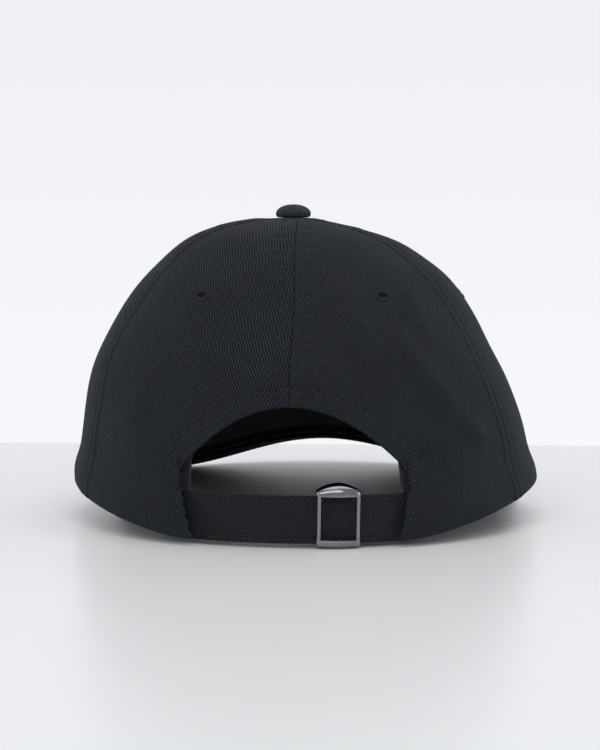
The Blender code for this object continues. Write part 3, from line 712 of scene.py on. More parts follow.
def both_ways(fine, coarse, width, total):
    """The same from both ends, for a sheet with two seams."""
    half = eased(fine, coarse, width, total / 2)
    return np.concatenate([half, (total - half)[::-1][1:]])


# The crown's panels


def along_border(kind):
    """The lower border of a left panel as a function of the share along it.

    It gives the azimuth and the rise there, and the azimuth that the panel's line turns to.
    """
    if kind != "back":
        seams = SEAMS_OF[kind]
        return lambda s: (mix(*seams, s), np.zeros_like(s), mix(*seams, s))
    x = np.linspace(0, ARCH_HALF_WIDTH, 60)
    z = arch_height(x)
    down = np.linspace(0, 1, 24)[1:]
    side_x, side_z = side_line(down)
    azimuth, rise = on_back(np.concatenate([x, side_x]), np.concatenate([z, side_z]))
    hem = np.linspace(0, 1, 60)[1:]
    target = np.concatenate(
        [azimuth[:60], mix(azimuth[59], FAN_END, down), mix(FAN_END, BACK_SEAM, hem)]
    )
    azimuth = np.concatenate([azimuth, mix(azimuth[-1], BACK_SEAM, hem)])
    rise = np.concatenate([rise, np.zeros(59)])
    points = crown_point(azimuth, rise)
    lengths = np.linalg.norm(np.diff(points, axis=0), axis=1)
    share = np.concatenate([[0.0], np.cumsum(lengths)]) / lengths.sum()
    return lambda s: tuple(np.interp(s, share, held) for held in (azimuth, rise, target))


def border_length(border):
    azimuth, rise, _ = border(np.linspace(0, 1, 300))
    points = crown_point(azimuth, rise)
    return np.linalg.norm(np.diff(points, axis=0), axis=1).sum()


def edge_distance(azimuth, rise, points, kind):
    """How far each point of a panel's grid is from its lower border."""
    if kind != "back":
        return points[..., 2] - edge_height(azimuth)
    _, lift = reach_and_lift(azimuth, rise)
    x, z = np.abs(points[..., 0] - LEAN * lift), points[..., 2]
    opening = path_distance(x, z, arch_path() + side_path(1)[1:])
    hem = np.where(x > OPENING_FOOT, z - edge_height(azimuth), np.inf)
    return np.minimum(opening, hem)


def make_panel(kind, side, materials):
    sign = 1 if side == "left" else -1
    first, second = SEAMS_OF[kind]
    border = along_border(kind)
    length = border_length(border)
    shares = both_ways(0.5 * MM, 1.5 * MM, 8 * MM, length) / length
    reach = 140 * MM
    up = eased(0.5 * MM, 1.4 * MM, 8 * MM, reach) / reach
    azimuth, rise, at_tip = border(shares)
    tip_rise = rise_at_radius(at_tip, TIP_RADIUS)
    turned = 1 - (1 - up[:, None]) ** 4
    azimuth = mix(azimuth[None, :], at_tip[None, :], turned)
    rise = mix(rise[None, :], tip_rise[None, :], up[:, None])
    base = crown_point(azimuth, rise)
    hem = edge_distance(azimuth, rise, base, kind)
    seam = seam_distance(azimuth, rise)
    radius = (TWILL + 0.1 * MM) / 2
    drawn = np.maximum(rounding(np.maximum(hem, 0), radius), rounding(seam, radius * 0.98))
    drawn[0, :] = radius
    outer, _ = on_cloth(sign * azimuth, rise, drawn)
    inner, _ = on_cloth(sign * azimuth, rise, 2 * radius - drawn)
    across = (azimuth - (first + second) / 2) * HALF_WIDTH * reach_and_lift(azimuth, rise)[0]
    along = meridian_length((first + second) / 2)(rise)
    cloth = grain(sign * across, along, 3 * first * sign)
    name = f"cap_{kind}_{side}_panel"
    made = sheet(name, outer, inner, cloth, materials["twill"], flip=sign > 0)
    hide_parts(f"{kind}_{side}_panel")
    return made


# Stitches


def tube_along(points, normals, radii, ring):
    """Vertices of a tube with rounded ends through points, in rings across its path."""
    tangents = np.gradient(points, axis=0)
    tangents /= np.maximum(np.linalg.norm(tangents, axis=1, keepdims=True), 1e-12)
    sides = np.cross(tangents, normals)
    sides /= np.maximum(np.linalg.norm(sides, axis=1, keepdims=True), 1e-12)
    ups = np.cross(sides, tangents)
    turns = np.arange(ring) * 2 * math.pi / ring
    rings = points[:, None] + radii[:, None, None] * (
        sides[:, None] * np.cos(turns)[None, :, None] + ups[:, None] * np.sin(turns)[None, :, None]
    )
    return rings


def stitches_on(points, normals, pitch=STITCH_PITCH, length=STITCH_LENGTH, radius=THREAD_RADIUS):
    """Separate stitches along a line on a surface. Each one dips into the cloth at its ends."""
    steps = np.linalg.norm(np.diff(points, axis=0), axis=1)
    travelled = np.concatenate([[0.0], np.cumsum(steps)])
    count = int((travelled[-1] - length) / pitch) + 1
    verts, faces, cloth = [], [], []
    radii = radius * np.array([0.35, 0.8, 1.0, 1.05, 1.0, 0.8, 0.35])
    height = radius * np.array([-1.6, -0.5, 0.45, 0.7, 0.45, -0.5, -1.6])
    rings_each = len(STITCH_PROFILE)
    for k in range(max(count, 0)):
        middle = length / 2 + k * pitch
        at = middle + STITCH_PROFILE * length / 2
        centre = np.stack([np.interp(at, travelled, points[:, i]) for i in range(3)], -1)
        normal = np.stack([np.interp(at, travelled, normals[:, i]) for i in range(3)], -1)
        normal /= np.linalg.norm(normal, axis=1, keepdims=True)
        rings = tube_along(centre + normal * height[:, None], normal, radii, STITCH_RING)
        verts.append(rings.reshape(-1, 3))
        start = k * rings_each * STITCH_RING
        faces.append(grid_faces(rings_each, STITCH_RING, start, wrap=True))
        turns = np.arange(STITCH_RING)[None, :] / STITCH_RING
        cloth.append(grain(turns * MM, at[:, None]).reshape(-1, 3))
    return verts, faces, cloth


def stitch_piece(name, rows, materials, body="cap", **sizes):
    """One piece that holds every stitch of these rows, each a pair of points and normals."""
    verts, faces, cloth = [], [], []
    start = 0
    for points, normals in rows:
        v, f, c = stitches_on(points, normals, **sizes)
        count = sum(len(part) for part in v)
        verts += v
        faces += [part + start for part in f]
        cloth += c
        start += count
    points, quads = np.concatenate(verts), np.concatenate(faces)
    ends = []
    each = STITCH_RING * len(STITCH_PROFILE)
    for base in range(0, len(points), each):
        ends.append([base + i for i in range(STITCH_RING)][::-1])
        ends.append([base + each - STITCH_RING + i for i in range(STITCH_RING)])
    faces = [*quads.tolist(), *ends]
    made = make_piece(name, points, faces, np.concatenate(cloth), materials["thread"], body)
    return made


def seam_rows():
    """Lines of topstitching on both sides of every seam."""
    rows = []
    for seam in (0.0, BACK_SEAM, -BACK_SEAM, FRONT_SEAM, -FRONT_SEAM, math.pi):
        low = ARCH_TOP + HEM_STITCH + 0.8 * MM if seam == 0 else edge_height(seam) + 2.5 * MM
        rises = np.linspace(rise_at(seam, low), rise_at_radius(seam, 10.5 * MM), 260)
        reach, _ = reach_and_lift(seam, rises)
        for side in (-1, 1):
            azimuth = seam + side * TOPSTITCH / (HALF_WIDTH * reach)
            rows.append(on_cloth(azimuth, rises))
    return rows


def arch_row(out):
    """A line round the arch at this distance from its edge."""
    x = np.linspace(-ARCH_HALF_WIDTH, ARCH_HALF_WIDTH, 240)
    slope = -2 * (ARCH_TOP - ARCH_CORNER_HEIGHT) * x / ARCH_HALF_WIDTH**2
    length = np.hypot(1, slope)
    return on_back(x - slope / length * out, arch_height(x) + out / length)


def opening_rows():
    rows = [on_cloth(*arch_row(HEM_STITCH))]
    x, z = side_line(np.linspace(0.0, 0.95, 60))
    for sign in (-1, 1):
        azimuth, rise = on_back(sign * (x + EDGE_STITCH), z)
        rows.append(on_cloth(azimuth, rise))
    return rows


# Inside


def crown_strip(name, azimuth, rise, sizes, material, across, along):
    """A thin strip beneath the crown with rounded long edges. sizes are its depth and thickness."""
    depth, thickness = sizes
    edge = np.abs(np.linspace(-1, 1, azimuth.shape[1]))[None, :]
    thin = thickness * 0.42 * np.clip((edge - 0.9) / 0.1, 0, 1) ** 2
    outer, _ = on_cloth(azimuth, rise, depth + thin)
    inner, _ = on_cloth(azimuth, rise, depth + thickness - thin)
    return sheet(name, outer, inner, grain(across, along), material, flip=True)


def make_tapes(materials):
    lows = {
        "back_seam_tape": (0.0, ARCH_TOP + 10.5 * MM),
        "left_back_seam_tape": (BACK_SEAM, edge_height(BACK_SEAM) + LINING_START),
        "right_back_seam_tape": (-BACK_SEAM, edge_height(BACK_SEAM) + LINING_START),
        "left_front_seam_tape": (FRONT_SEAM, edge_height(FRONT_SEAM) + LINING_START),
        "right_front_seam_tape": (-FRONT_SEAM, edge_height(FRONT_SEAM) + LINING_START),
        "front_seam_tape": (math.pi, edge_height(math.pi) + LINING_START),
    }
    rows = []
    for name, (seam, low) in lows.items():
        rises = np.linspace(rise_at(seam, low), rise_at_radius(seam, 15.5 * MM), 90)[:, None]
        reach, _ = reach_and_lift(seam, rises)
        wide = np.linspace(-TAPE_HALF_WIDTH, TAPE_HALF_WIDTH, 41)[None, :]
        azimuth = seam + wide / (HALF_WIDTH * reach)
        rise = np.broadcast_to(rises, azimuth.shape)
        along = meridian_length(seam)(rises)
        sizes = (TAPE_DEPTH, TAPE_THICKNESS)
        made = crown_strip(f"cap_{name}", azimuth, rise, sizes, materials["tape"], wide, along)
        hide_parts(name)
        for side in (-1, 1):
            line = seam + side * TOPSTITCH / (HALF_WIDTH * reach[:, 0])
            points, normals = on_cloth(line, rises[:, 0], TAPE_DEPTH + TAPE_THICKNESS)
            rows.append((points, -normals))
    stitch_piece("cap_tape_stitches", rows, materials)


def make_stiffeners(materials):
    for side, sign in (("left", 1), ("right", -1)):
        share = np.linspace(0, 1, 50)[None, :]
        height = np.linspace(0, 1, 60)[:, None]
        middle = mix(FRONT_SEAM, math.pi, share)
        low = edge_height(middle) + LINING_START
        rise = rise_at(middle, mix(low, STIFFENER_TOP, height))
        reach, _ = reach_and_lift(middle, rise)
        turn = 8 * MM / (HALF_WIDTH * reach)
        azimuth = mix(FRONT_SEAM + turn, math.pi - turn, share)
        along = meridian_length(middle.mean())(rise)
        across = (azimuth - middle.mean()) * HALF_WIDTH * reach
        azimuth = sign * azimuth
        outer, _ = on_cloth(azimuth, rise, TWILL + GAP)
        inner, _ = on_cloth(azimuth, rise, TWILL + GAP + BUCKRAM_THICKNESS)
        cloth = grain(across, along)
        name = f"front_{side}_stiffener"
        made = sheet(f"cap_{name}", outer, inner, cloth, materials["buckram"], flip=sign > 0)
        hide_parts(name)


def make_facing(materials):
    outs = np.linspace(0.7 * MM, 9 * MM, 22)
    lines = [arch_row(out) for out in outs]
    azimuth = np.stack([line[0][6:-6] for line in lines])
    rise = np.stack([line[1][6:-6] for line in lines])
    cloth = grain(outs[:, None], np.linspace(-55, 55, azimuth.shape[1])[None, :] * MM)
    outer, _ = on_cloth(azimuth, rise, TAPE_DEPTH)
    inner, _ = on_cloth(azimuth, rise, TAPE_DEPTH + FACING_THICKNESS)
    made = sheet("cap_arch_facing", outer, inner, cloth, materials["tape"])
    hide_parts("arch_facing")


def band_inset(azimuth):
    """The sweatband stands further in beside the opening, where the strap's ends tuck behind it."""
    return mix(POCKET_INSET, BAND_INSET, smooth(POCKET_END, POCKET_FADE, np.abs(azimuth)))


def band_point(azimuth, height, depth):
    """A point of the sweatband at this height above its lower edge, this deep in its cloth."""
    low = edge_height(azimuth) + BAND_LOW
    rise = rise_at(azimuth, low + height)
    point = crown_point(azimuth, rise, False)
    normal = crown_normal(azimuth, rise, False)
    ripple = 0.25 * MM * np.sin(azimuth * 23) * np.sin(azimuth * 7 + 1) * height / BAND_HEIGHT
    inset = band_inset(azimuth) + depth + ripple
    return point - normal * inset[..., None], normal


def make_sweatband(materials):
    turns = np.linspace(BAND_END, 2 * math.pi - BAND_END, 420)
    azimuth = np.where(turns <= math.pi, turns, turns - 2 * math.pi)
    edge = np.array([0.0, 0.1, 0.3, 0.6]) * MM
    heights = np.concatenate([edge, np.linspace(1.0 * MM, BAND_HEIGHT - 1.0 * MM, 26)])
    heights = np.concatenate([heights, (BAND_HEIGHT - edge)[::-1]])
    azimuths, heights = np.broadcast_arrays(azimuth[None, :], heights[:, None])
    radius = BAND_THICKNESS / 2
    near = np.minimum(heights, BAND_HEIGHT - heights)
    drawn = rounding(near, radius * 0.98)
    hem = 0.22 * MM * bell(heights, BAND_STITCHES[0], 0.5 * MM)
    outer, _ = band_point(azimuths, heights, drawn)
    inner, _ = band_point(azimuths, heights, 2 * radius - drawn - hem)
    cloth = grain(heights, turns[None, :] * HALF_WIDTH)
    made = sheet("cap_sweatband", outer, inner, cloth, materials["band"], flip=True)
    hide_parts("sweatband")
    rows = []
    for height in BAND_STITCHES:
        points, normals = band_point(azimuth, height, BAND_THICKNESS)
        rows.append((points, -normals))
    stitch_piece("cap_band_stitches", rows, materials)


# The visor


def visor_plan(along, out):
    turn = (math.pi - VISOR_ROOT) * along
    root_x = (HALF_WIDTH - VISOR_INNER) * np.sin(turn)
    root_y = -(FRONT_DEPTH - VISOR_INNER) * np.cos(turn)
    sweep = VISOR_SWEEP * along
    side, front = np.sin(sweep), np.cos(sweep)
    power = 2 / VISOR_SQUARENESS
    ahead = front > 0
    bowed_side = np.sign(side) * np.abs(side) ** power
    bowed_front = np.maximum(front, 0.0) ** power
    edge_x = VISOR_HALF_WIDTH * np.where(ahead, bowed_side, side)
    edge_y = VISOR_WIDEST_Y - np.where(ahead, VISOR_REACH * bowed_front, VISOR_RETURN * front)
    return mix(root_x, edge_x, out), mix(root_y, edge_y, out)


def visor_point(along, out, depth):
    x, y = visor_plan(along, out)
    swell = 0.12 * MM * np.sin(x / (9 * MM)) * np.sin(y / (12 * MM) + 1)
    return np.stack([x, y, visor_top(x, y) + swell - depth], -1)


def visor_reach(along):
    """How far the visor reaches from its root to its edge."""
    x0, y0 = visor_plan(along, np.zeros_like(along))
    x1, y1 = visor_plan(along, np.ones_like(along))
    return np.hypot(x1 - x0, y1 - y0)


def visor_normal(along, out):
    step = 1e-3
    a = visor_point(along + step, out, 0.0) - visor_point(along - step, out, 0.0)
    b = visor_point(along, out + step, 0.0) - visor_point(along, out - step, 0.0)
    normal = np.cross(b, a)
    normal *= np.sign(normal[..., 2:3])
    return normal / np.linalg.norm(normal, axis=-1, keepdims=True)


def visor_relief(along, out):
    """The quilted look between the visor's rows of stitching."""
    inward = (1 - out) * visor_reach(along)
    drawn = sum(bell(inward, distance, 0.8 * MM) for distance in ROWS_FROM_EDGE)
    root = smooth(0.0, 0.12, out)
    return 0.28 * MM * drawn * root


def make_visor(materials):
    ends = np.array([0.985, 0.994, 0.9985, 1.0])
    alongs = np.concatenate([-ends[::-1], np.linspace(-0.975, 0.975, 230), ends])
    outs = np.concatenate([np.linspace(0.0, 0.97, 110), [0.978, 0.986, 0.992, 0.9965, 0.9992, 1.0]])
    along, out = np.broadcast_arrays(alongs[:, None], outs[None, :])
    from_end = (1 - np.abs(along)) * VISOR_HALF_WIDTH
    from_edge = np.minimum((1 - out) * visor_reach(along), from_end)
    half = VISOR_THICKNESS / 2
    drawn = rounding(from_edge, half * 0.96)
    middle = half - 0.05 * MM
    x, y = visor_plan(along, out)
    turned = 1.4 * drawn
    cloth = grain(x + turned, turned - y, 40)
    relief = visor_relief(along, out)
    top = visor_point(along, out, np.minimum(drawn + relief, middle))
    top_inner = visor_point(along, out, np.full_like(drawn, middle))
    made = sheet("cap_visor_top", top, top_inner, cloth, materials["twill"], flip=True)
    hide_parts("visor_top_cover")
    low = visor_point(along, out, VISOR_THICKNESS - np.minimum(drawn + relief, middle))
    low_inner = visor_point(along, out, np.full_like(drawn, VISOR_THICKNESS - middle))
    made = sheet("cap_visor_under", low_inner, low, cloth, materials["twill"], flip=True)
    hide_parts("visor_under_cover")
    make_root_strip(materials)
    make_visor_stitches(materials)


def make_root_strip(materials):
    """The turned allowance that joins the visor's root to the crown, seen inside as a dark fold."""
    azimuth = np.linspace(VISOR_ROOT - 3 * RAD, 2 * math.pi - VISOR_ROOT + 3 * RAD, 200)
    azimuth = np.where(azimuth <= math.pi, azimuth, azimuth - 2 * math.pi)
    bottom, top = -0.25 * MM, 7 * MM
    outer_depth, inner_depth = 1.6 * MM, 2.7 * MM
    heights = np.linspace(bottom, top, 14)
    azimuth, heights = np.broadcast_arrays(azimuth[None, :], heights[:, None])
    low = edge_height(azimuth)
    rise = rise_at(azimuth, low + np.maximum(heights, 0))
    base = crown_point(azimuth, rise, False)
    base[..., 2] = low + heights
    normal = crown_normal(azimuth, rise, False)
    near = np.minimum(heights - bottom, top - heights)
    drawn = rounding(near, 0.5 * MM)
    wave = 0.12 * MM * np.sin(azimuth * 60)
    outer = base - normal * (outer_depth + drawn + wave)[..., None]
    inner = base - normal * (inner_depth - drawn + wave)[..., None]
    cloth = grain(np.abs(azimuth) * 90 * MM, heights)
    made = sheet("cap_visor_seam", outer, inner, cloth, materials["tape"], flip=True)


def make_visor_stitches(materials):
    upper, lower = [], []
    for distance in ROWS_FROM_EDGE:
        line = np.linspace(-0.985, 0.985, 500)
        out = 1 - distance / visor_reach(line)
        keep = out > 0.10
        if keep.sum() < 30:
            continue
        line, out = line[keep], out[keep]
        normal = visor_normal(line, out)
        points = visor_point(line, out, np.full_like(line, VISOR_STITCH_SEAT))
        under_seat = VISOR_THICKNESS - VISOR_STITCH_SEAT
        under = visor_point(line, out, np.full_like(line, under_seat))
        breaks = np.nonzero(np.diff(np.nonzero(keep)[0]) > 1)[0] + 1
        for part in np.split(np.arange(len(line)), breaks):
            if len(part) > 8:
                upper.append((points[part], normal[part]))
                lower.append((under[part], -normal[part]))
    stitch_piece("cap_visor_stitches_top", upper, materials)
    stitch_piece("cap_visor_stitches_under", lower, materials)


# Button and eyelets


def spun_grid(radii, heights, segments, ripple=None):
    turns = np.arange(segments) * 2 * math.pi / segments
    r = np.broadcast_to(radii[:, None], (len(radii), segments))
    z = np.broadcast_to(heights[:, None], r.shape)
    if ripple is not None:
        dr, dz = ripple(turns[None, :], r, z)
        r, z = r + dr, z + dz
    return np.stack([r * np.cos(turns), r * np.sin(turns), z], -1)


def make_button(materials):
    """Cloth drawn over a domed shell and gathered underneath it."""
    radius, seat, top = BUTTON_RADIUS, CROWN_TOP + BUTTON_SEAT, CROWN_TOP + BUTTON_HEIGHT
    shoulder = seat + BUTTON_SHOULDER
    angles = np.linspace(0, math.pi / 2, 26)
    radii = radius * np.cos(angles) ** 0.92
    heights = mix(shoulder, top, np.sin(angles) ** 1.06)
    under = np.linspace(0, 1, 12)[:-1]
    low_radii = mix(radius * 0.80, radius, np.sin(under * math.pi / 2) ** 0.8)
    low_heights = mix(seat, shoulder, 1 - np.cos(under * math.pi / 2))
    radii = np.concatenate([low_radii, radii])
    heights = np.concatenate([low_heights, heights])
    radii[-1] = 0.02 * MM

    def gathers(turn, r, z):
        low = 1 - smooth(seat, shoulder + 1.0 * MM, z)
        fold = np.sin(turn * 15 + 1.2 * np.sin(turn * 3)) * 0.16 * MM * low
        dent = 0.10 * MM * np.sin(turn * 2 + 0.6) * smooth(0.2, 0.9, r / radius)
        return fold + dent, fold * 0.0

    segments = 96
    grid = spun_grid(radii, heights, segments, gathers) + (LEAN, 0, 0)
    rows = len(radii)
    points = np.concatenate([grid.reshape(-1, 3), [[LEAN, 0, heights[-1]], [LEAN, 0, seat]]])
    last, crown, base = (rows - 1) * segments, rows * segments, rows * segments + 1
    faces = grid_faces(rows, segments, wrap=True).tolist()
    for i in range(segments):
        following = (i + 1) % segments
        faces += [[last + i, last + following, crown], [following, i, base]]
    bend = 1 + 0.8 * (top - points[:, 2:3]) / radius
    cloth = np.concatenate([(points[:, :2] - (LEAN, 0)) * bend, points[:, 2:3] * 0], 1) / MM
    made = make_piece("cap_button", points, faces, cloth, materials["button_twill"])
    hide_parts("button_cover")


def eyelet_ring():
    """Many thread turns over the edge of a small hole, as vertices and faces."""
    segments = EYELET_TURNS * 6
    around = np.linspace(0, 2 * math.pi, 18, endpoint=False)
    radii = EYELET_RADIUS + EYELET_THREAD * np.cos(around)
    heights = -EYELET_SEAT + EYELET_THREAD * np.sin(around)

    def threads(turn, r, z):
        ridge = np.abs(np.sin(turn * EYELET_TURNS / 2 + 0.4 * np.sin(turn * 5)))
        out = 0.16 * MM * ridge + 0.08 * MM * np.sin(turn * 3 + 1)
        arm = np.hypot(r - EYELET_RADIUS, z + EYELET_SEAT)
        return (r - EYELET_RADIUS) / arm * out, (z + EYELET_SEAT) / arm * out

    grid = spun_grid(radii, heights, segments, threads)
    rows = len(radii)
    faces = grid_faces(rows + 1, segments, wrap=True) % (rows * segments)
    twist = np.arange(segments)[None, :] * 0.05
    cloth = grain(twist * MM, np.arange(rows)[:, None] * 0.35 * MM).reshape(-1, 3)
    return grid.reshape(-1, 3), faces, cloth


def eyelet_shade_disc():
    """A near-black disc of painted shade under the eyelet, standing in for the dark inside of the
    crown seen through it.
    """
    segments = 24
    disc = spun_grid(np.array([1.85, 1.0]) * MM, np.array([-0.05, 0.12]) * MM, segments)
    disc = np.concatenate([disc.reshape(-1, 3), [[0, 0, 0.14 * MM]]])
    inner = [segments + i for i in range(segments)]
    fan = [[a, b, 2 * segments] for a, b in zip(inner, inner[1:] + inner[:1])]
    return disc, grid_faces(2, segments, wrap=True).tolist() + fan, disc / MM


def make_eyelets(materials):
    for kind, (first, second) in SEAMS_OF.items():
        for side, sign in (("left", 1), ("right", -1)):
            azimuth = np.array([sign * (first + second) / 2])
            point, normal = on_cloth(azimuth, rise_at(azimuth, EYELET_HEIGHT))
            turn = Vector(normal[0]).to_track_quat("Z", "Y")
            flat = Vector((1.0, EYELET_FLATNESS, 1.0))
            place = np.array(Matrix.LocRotScale(Vector(point[0]), turn, flat))
            name = f"{kind}_{side}_eyelet"
            points, faces, cloth = eyelet_ring()
            points = points @ place[:3, :3].T + place[:3, 3]
            made = make_piece(f"cap_{name}", points, faces, cloth, materials["eyelet_thread"])
            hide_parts(name)
            # Painted shade: a near-black disc under each eyelet reads as its dark hole.
            points, faces, cloth = eyelet_shade_disc()
            points = points @ place[:3, :3].T + place[:3, 3]
            made = make_piece(f"cap_{name}_hole", points, faces, cloth, materials["hole"])


# Strap and buckle


def on_strap(angle, radius, height):
    x = radius * np.sin(angle)
    y = STRAP_AXIS_Y + radius * np.cos(angle)
    return np.stack(np.broadcast_arrays(x, y, height), -1)


def edge_steps(low, high, count):
    edge = np.array([0.0, 0.08, 0.25, 0.5]) * MM
    middle = np.linspace(low + 0.9 * MM, high - 0.9 * MM, count)
    return np.concatenate([low + edge, middle, (high - edge)[::-1]])


def hung_edge(angle, low):
    """The strap's lower edge rises behind the crown's panels, so that their hem covers it."""
    behind = smooth(26 * RAD, 33 * RAD, np.abs(angle))
    return mix(low, edge_height(angle) + 0.6 * MM, behind)


def strap_relief(angle, height):
    middle = (STRAP_TOP + STRAP_BOTTOM) / 2
    from_edge = np.minimum(height - STRAP_BOTTOM, STRAP_TOP - height)
    relief = -0.34 * MM * bell(from_edge, STRAP_STITCH, 0.5 * MM)
    relief += 0.06 * MM * np.sin(angle * 120) * bell(from_edge, STRAP_STITCH, 1.5 * MM)
    relief += 0.07 * MM * np.sin(angle * 19 + 1) * np.cos((height - middle) / (7 * MM))
    return relief


def make_strap(materials):
    angles = np.linspace(STRAP_TAIL_END, STRAP_LEFT_END, 320)
    heights = edge_steps(STRAP_BOTTOM, STRAP_TOP, 44)
    angle, height = np.broadcast_arrays(angles[None, :], heights[:, None])
    near = np.minimum(height - STRAP_BOTTOM, STRAP_TOP - height)
    share = (height - STRAP_BOTTOM) / (STRAP_TOP - STRAP_BOTTOM)
    height = mix(hung_edge(angle, STRAP_BOTTOM), STRAP_TOP, share)
    ends = np.minimum(angle - STRAP_TAIL_END, STRAP_LEFT_END - angle) * STRAP_OUTER
    radius = STRAP_THICKNESS / 2
    drawn = np.maximum(rounding(near, radius), rounding(ends, radius))
    relief = strap_relief(angle, height)
    outer = on_strap(angle, STRAP_OUTER - drawn + relief, height)
    inner = on_strap(angle, STRAP_OUTER - STRAP_THICKNESS + drawn + relief * 0.3, height)
    cloth = grain(-angle * STRAP_OUTER, height, 70)
    made = sheet("cap_strap", outer, inner, cloth, materials["strap_twill"], flip=True)
    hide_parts("strap")
    rows = []
    line = np.linspace(STRAP_TAIL_END + 0.02, STRAP_LEFT_END - 0.02, 400)
    normals = np.stack([np.sin(line), np.cos(line), np.zeros_like(line)], -1)
    low = hung_edge(line, STRAP_BOTTOM) + STRAP_STITCH
    for level in (low, np.full_like(line, STRAP_TOP - STRAP_STITCH)):
        rows.append((on_strap(line, STRAP_OUTER + strap_relief(line, level), level), normals))
    sizes = {"pitch": 2.6 * MM, "length": 2.0 * MM, "radius": 0.2 * MM}
    stitch_piece("cap_strap_stitches", rows, materials, **sizes)


def make_tab(materials):
    """A doubled tab folded round the centre bar, drawn as an outline and given its height."""
    back = np.linspace(TAB_END, BUCKLE_ANGLE - 1.7 * RAD, 60)
    middle = (TAB_OUTER + TAB_INNER) / 2
    centre = on_strap(BUCKLE_ANGLE, BAR_ORBIT, 0.0)
    facing = math.pi / 2 - BUCKLE_ANGLE
    around = np.linspace(facing + 100 * RAD, facing - 250 * RAD, 50)
    loop = centre[None, :] + TAB_LOOP * np.stack([np.cos(around), np.sin(around), around * 0], -1)
    outer_arc = on_strap(back, TAB_OUTER, 0.0)
    inner_arc = on_strap(back[::-1], TAB_INNER, 0.0)
    tail = on_strap(TAB_END - 0.008, middle, 0.0)[None, :]
    keep = [p for p in loop if not between_arcs(p, back[-1])]
    outline = np.concatenate([outer_arc, np.array(keep), inner_arc, tail])
    normals = outline_normals(outline)
    heights = edge_steps(TAB_BOTTOM, TAB_TOP, 30)
    near = np.minimum(heights - TAB_BOTTOM, TAB_TOP - heights)
    drawn = rounding(near, TAB_ROUNDING)[:, None, None]
    rings = outline[None] - normals[None] * drawn
    angle = np.arctan2(outline[:, 0], outline[:, 1] - STRAP_AXIS_Y)
    share = (heights[:, None] - TAB_BOTTOM) / (TAB_TOP - TAB_BOTTOM)
    rings[..., 2] = mix(hung_edge(angle, TAB_BOTTOM)[None, :], TAB_TOP, share)
    steps = np.linalg.norm(np.diff(outline, axis=0, append=outline[:1]), axis=1)
    along = np.concatenate([[0.0], np.cumsum(steps)[:-1]])
    cloth = grain(along[None, :], heights[:, None]).reshape(-1, 3)
    points, faces = lofted(rings)
    made = make_piece("keeper_tab_cloth", points, faces, cloth, materials["strap_twill"], "keeper")
    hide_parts("keeper_tab")


def between_arcs(point, last):
    """Whether a point of the loop lies inside the tab's own thickness."""
    dx, dy = point[0], point[1] - STRAP_AXIS_Y
    radius, angle = math.hypot(dx, dy), math.atan2(dx, dy)
    return angle < last and TAB_INNER - 0.1 * MM < radius < TAB_OUTER + 0.1 * MM


def outline_normals(outline):
    """Outward normals of a closed outline in the plan."""
    ahead = np.roll(outline, -1, axis=0) - np.roll(outline, 1, axis=0)
    normals = np.stack([ahead[:, 1], -ahead[:, 0], ahead[:, 0] * 0], -1)
    normals /= np.maximum(np.linalg.norm(normals, axis=1, keepdims=True), 1e-12)
    x, y = outline[:, 0], outline[:, 1]
    area = np.sum(x * np.roll(y, -1) - np.roll(x, -1) * y)
    return normals if area > 0 else -normals


def rail_ring(x, strap_edge, lip, crest, end):
    """A rail's rounded section at x: strap side, front lip, crest, back."""
    share = x / BUCKLE_HALF_WIDTH
    front = RAIL_FRONT - 1.5 * MM * share**2
    back = RAIL_BACK + 2.9 * MM * share**2
    middle = (front + back) / 2
    height = mix(end, crest, math.cos(math.pi / 2 * min(1.0, abs(share)) * 0.93) ** 0.8)
    ring = []
    for angle in np.linspace(0.0, math.pi, RAIL_ARC):
        reach = math.copysign(abs(math.cos(angle)) ** 0.72, math.cos(angle))
        depth = (front - middle) if reach > 0 else (middle - back)
        low = lip if reach > 0 else strap_edge
        lift = max(0.0, math.sin(angle)) ** 0.72
        ring.append((x, middle + depth * reach, mix(low, height, lift)))
    inner = [
        (x, mix(back, STRAP_SIDE, 0.08), strap_edge),
        (x, mix(back, STRAP_SIDE, 0.5), strap_edge),
        (x, STRAP_SIDE + 0.15 * MM, strap_edge),
        (x, RAIL_LIP - 0.15 * MM, mix(strap_edge, lip, 0.45)),
        (x, RAIL_LIP, lip),
        (x, mix(RAIL_LIP, front, 0.6), lip),
    ]
    return ring + inner


def rail_mesh(strap_edge, lip, crest, end):
    """A rail lofted along its width, with its ends drawn in to round noses."""
    half, nose_radius = BUCKLE_HALF_WIDTH, 0.9 * MM
    rings = []
    for x in half * np.sin(np.linspace(-math.pi / 2, math.pi / 2, 41)):
        ring = np.array(rail_ring(x, strap_edge, lip, crest, end))
        nose = 1 - rounding(np.array(half - abs(x)), nose_radius) / nose_radius * 0.2
        centre = ring.mean(0)
        ring[:RAIL_ARC, 1:] = centre[1:] + (ring[:RAIL_ARC, 1:] - centre[1:]) * nose
        rings.append(ring)
    return lofted(np.array(rings))


def bar_mesh(sign, low, high):
    """A flat side bar with rounded corners."""
    half_width, half_depth = SIDE_BAR_HALF
    turns = np.linspace(0, 2 * math.pi, 28, endpoint=False)
    shape = np.sign(np.cos(turns)) * np.abs(np.cos(turns)) ** 0.75
    other = np.sign(np.sin(turns)) * np.abs(np.sin(turns)) ** 0.75
    rings = []
    for z in np.linspace(low, high, 12):
        x = sign * SIDE_BAR_X + half_width * shape
        y = SIDE_BAR_Y + half_depth * other
        rings.append(np.stack([x, y, np.full_like(x, z)], -1))
    return lofted(np.array(rings))


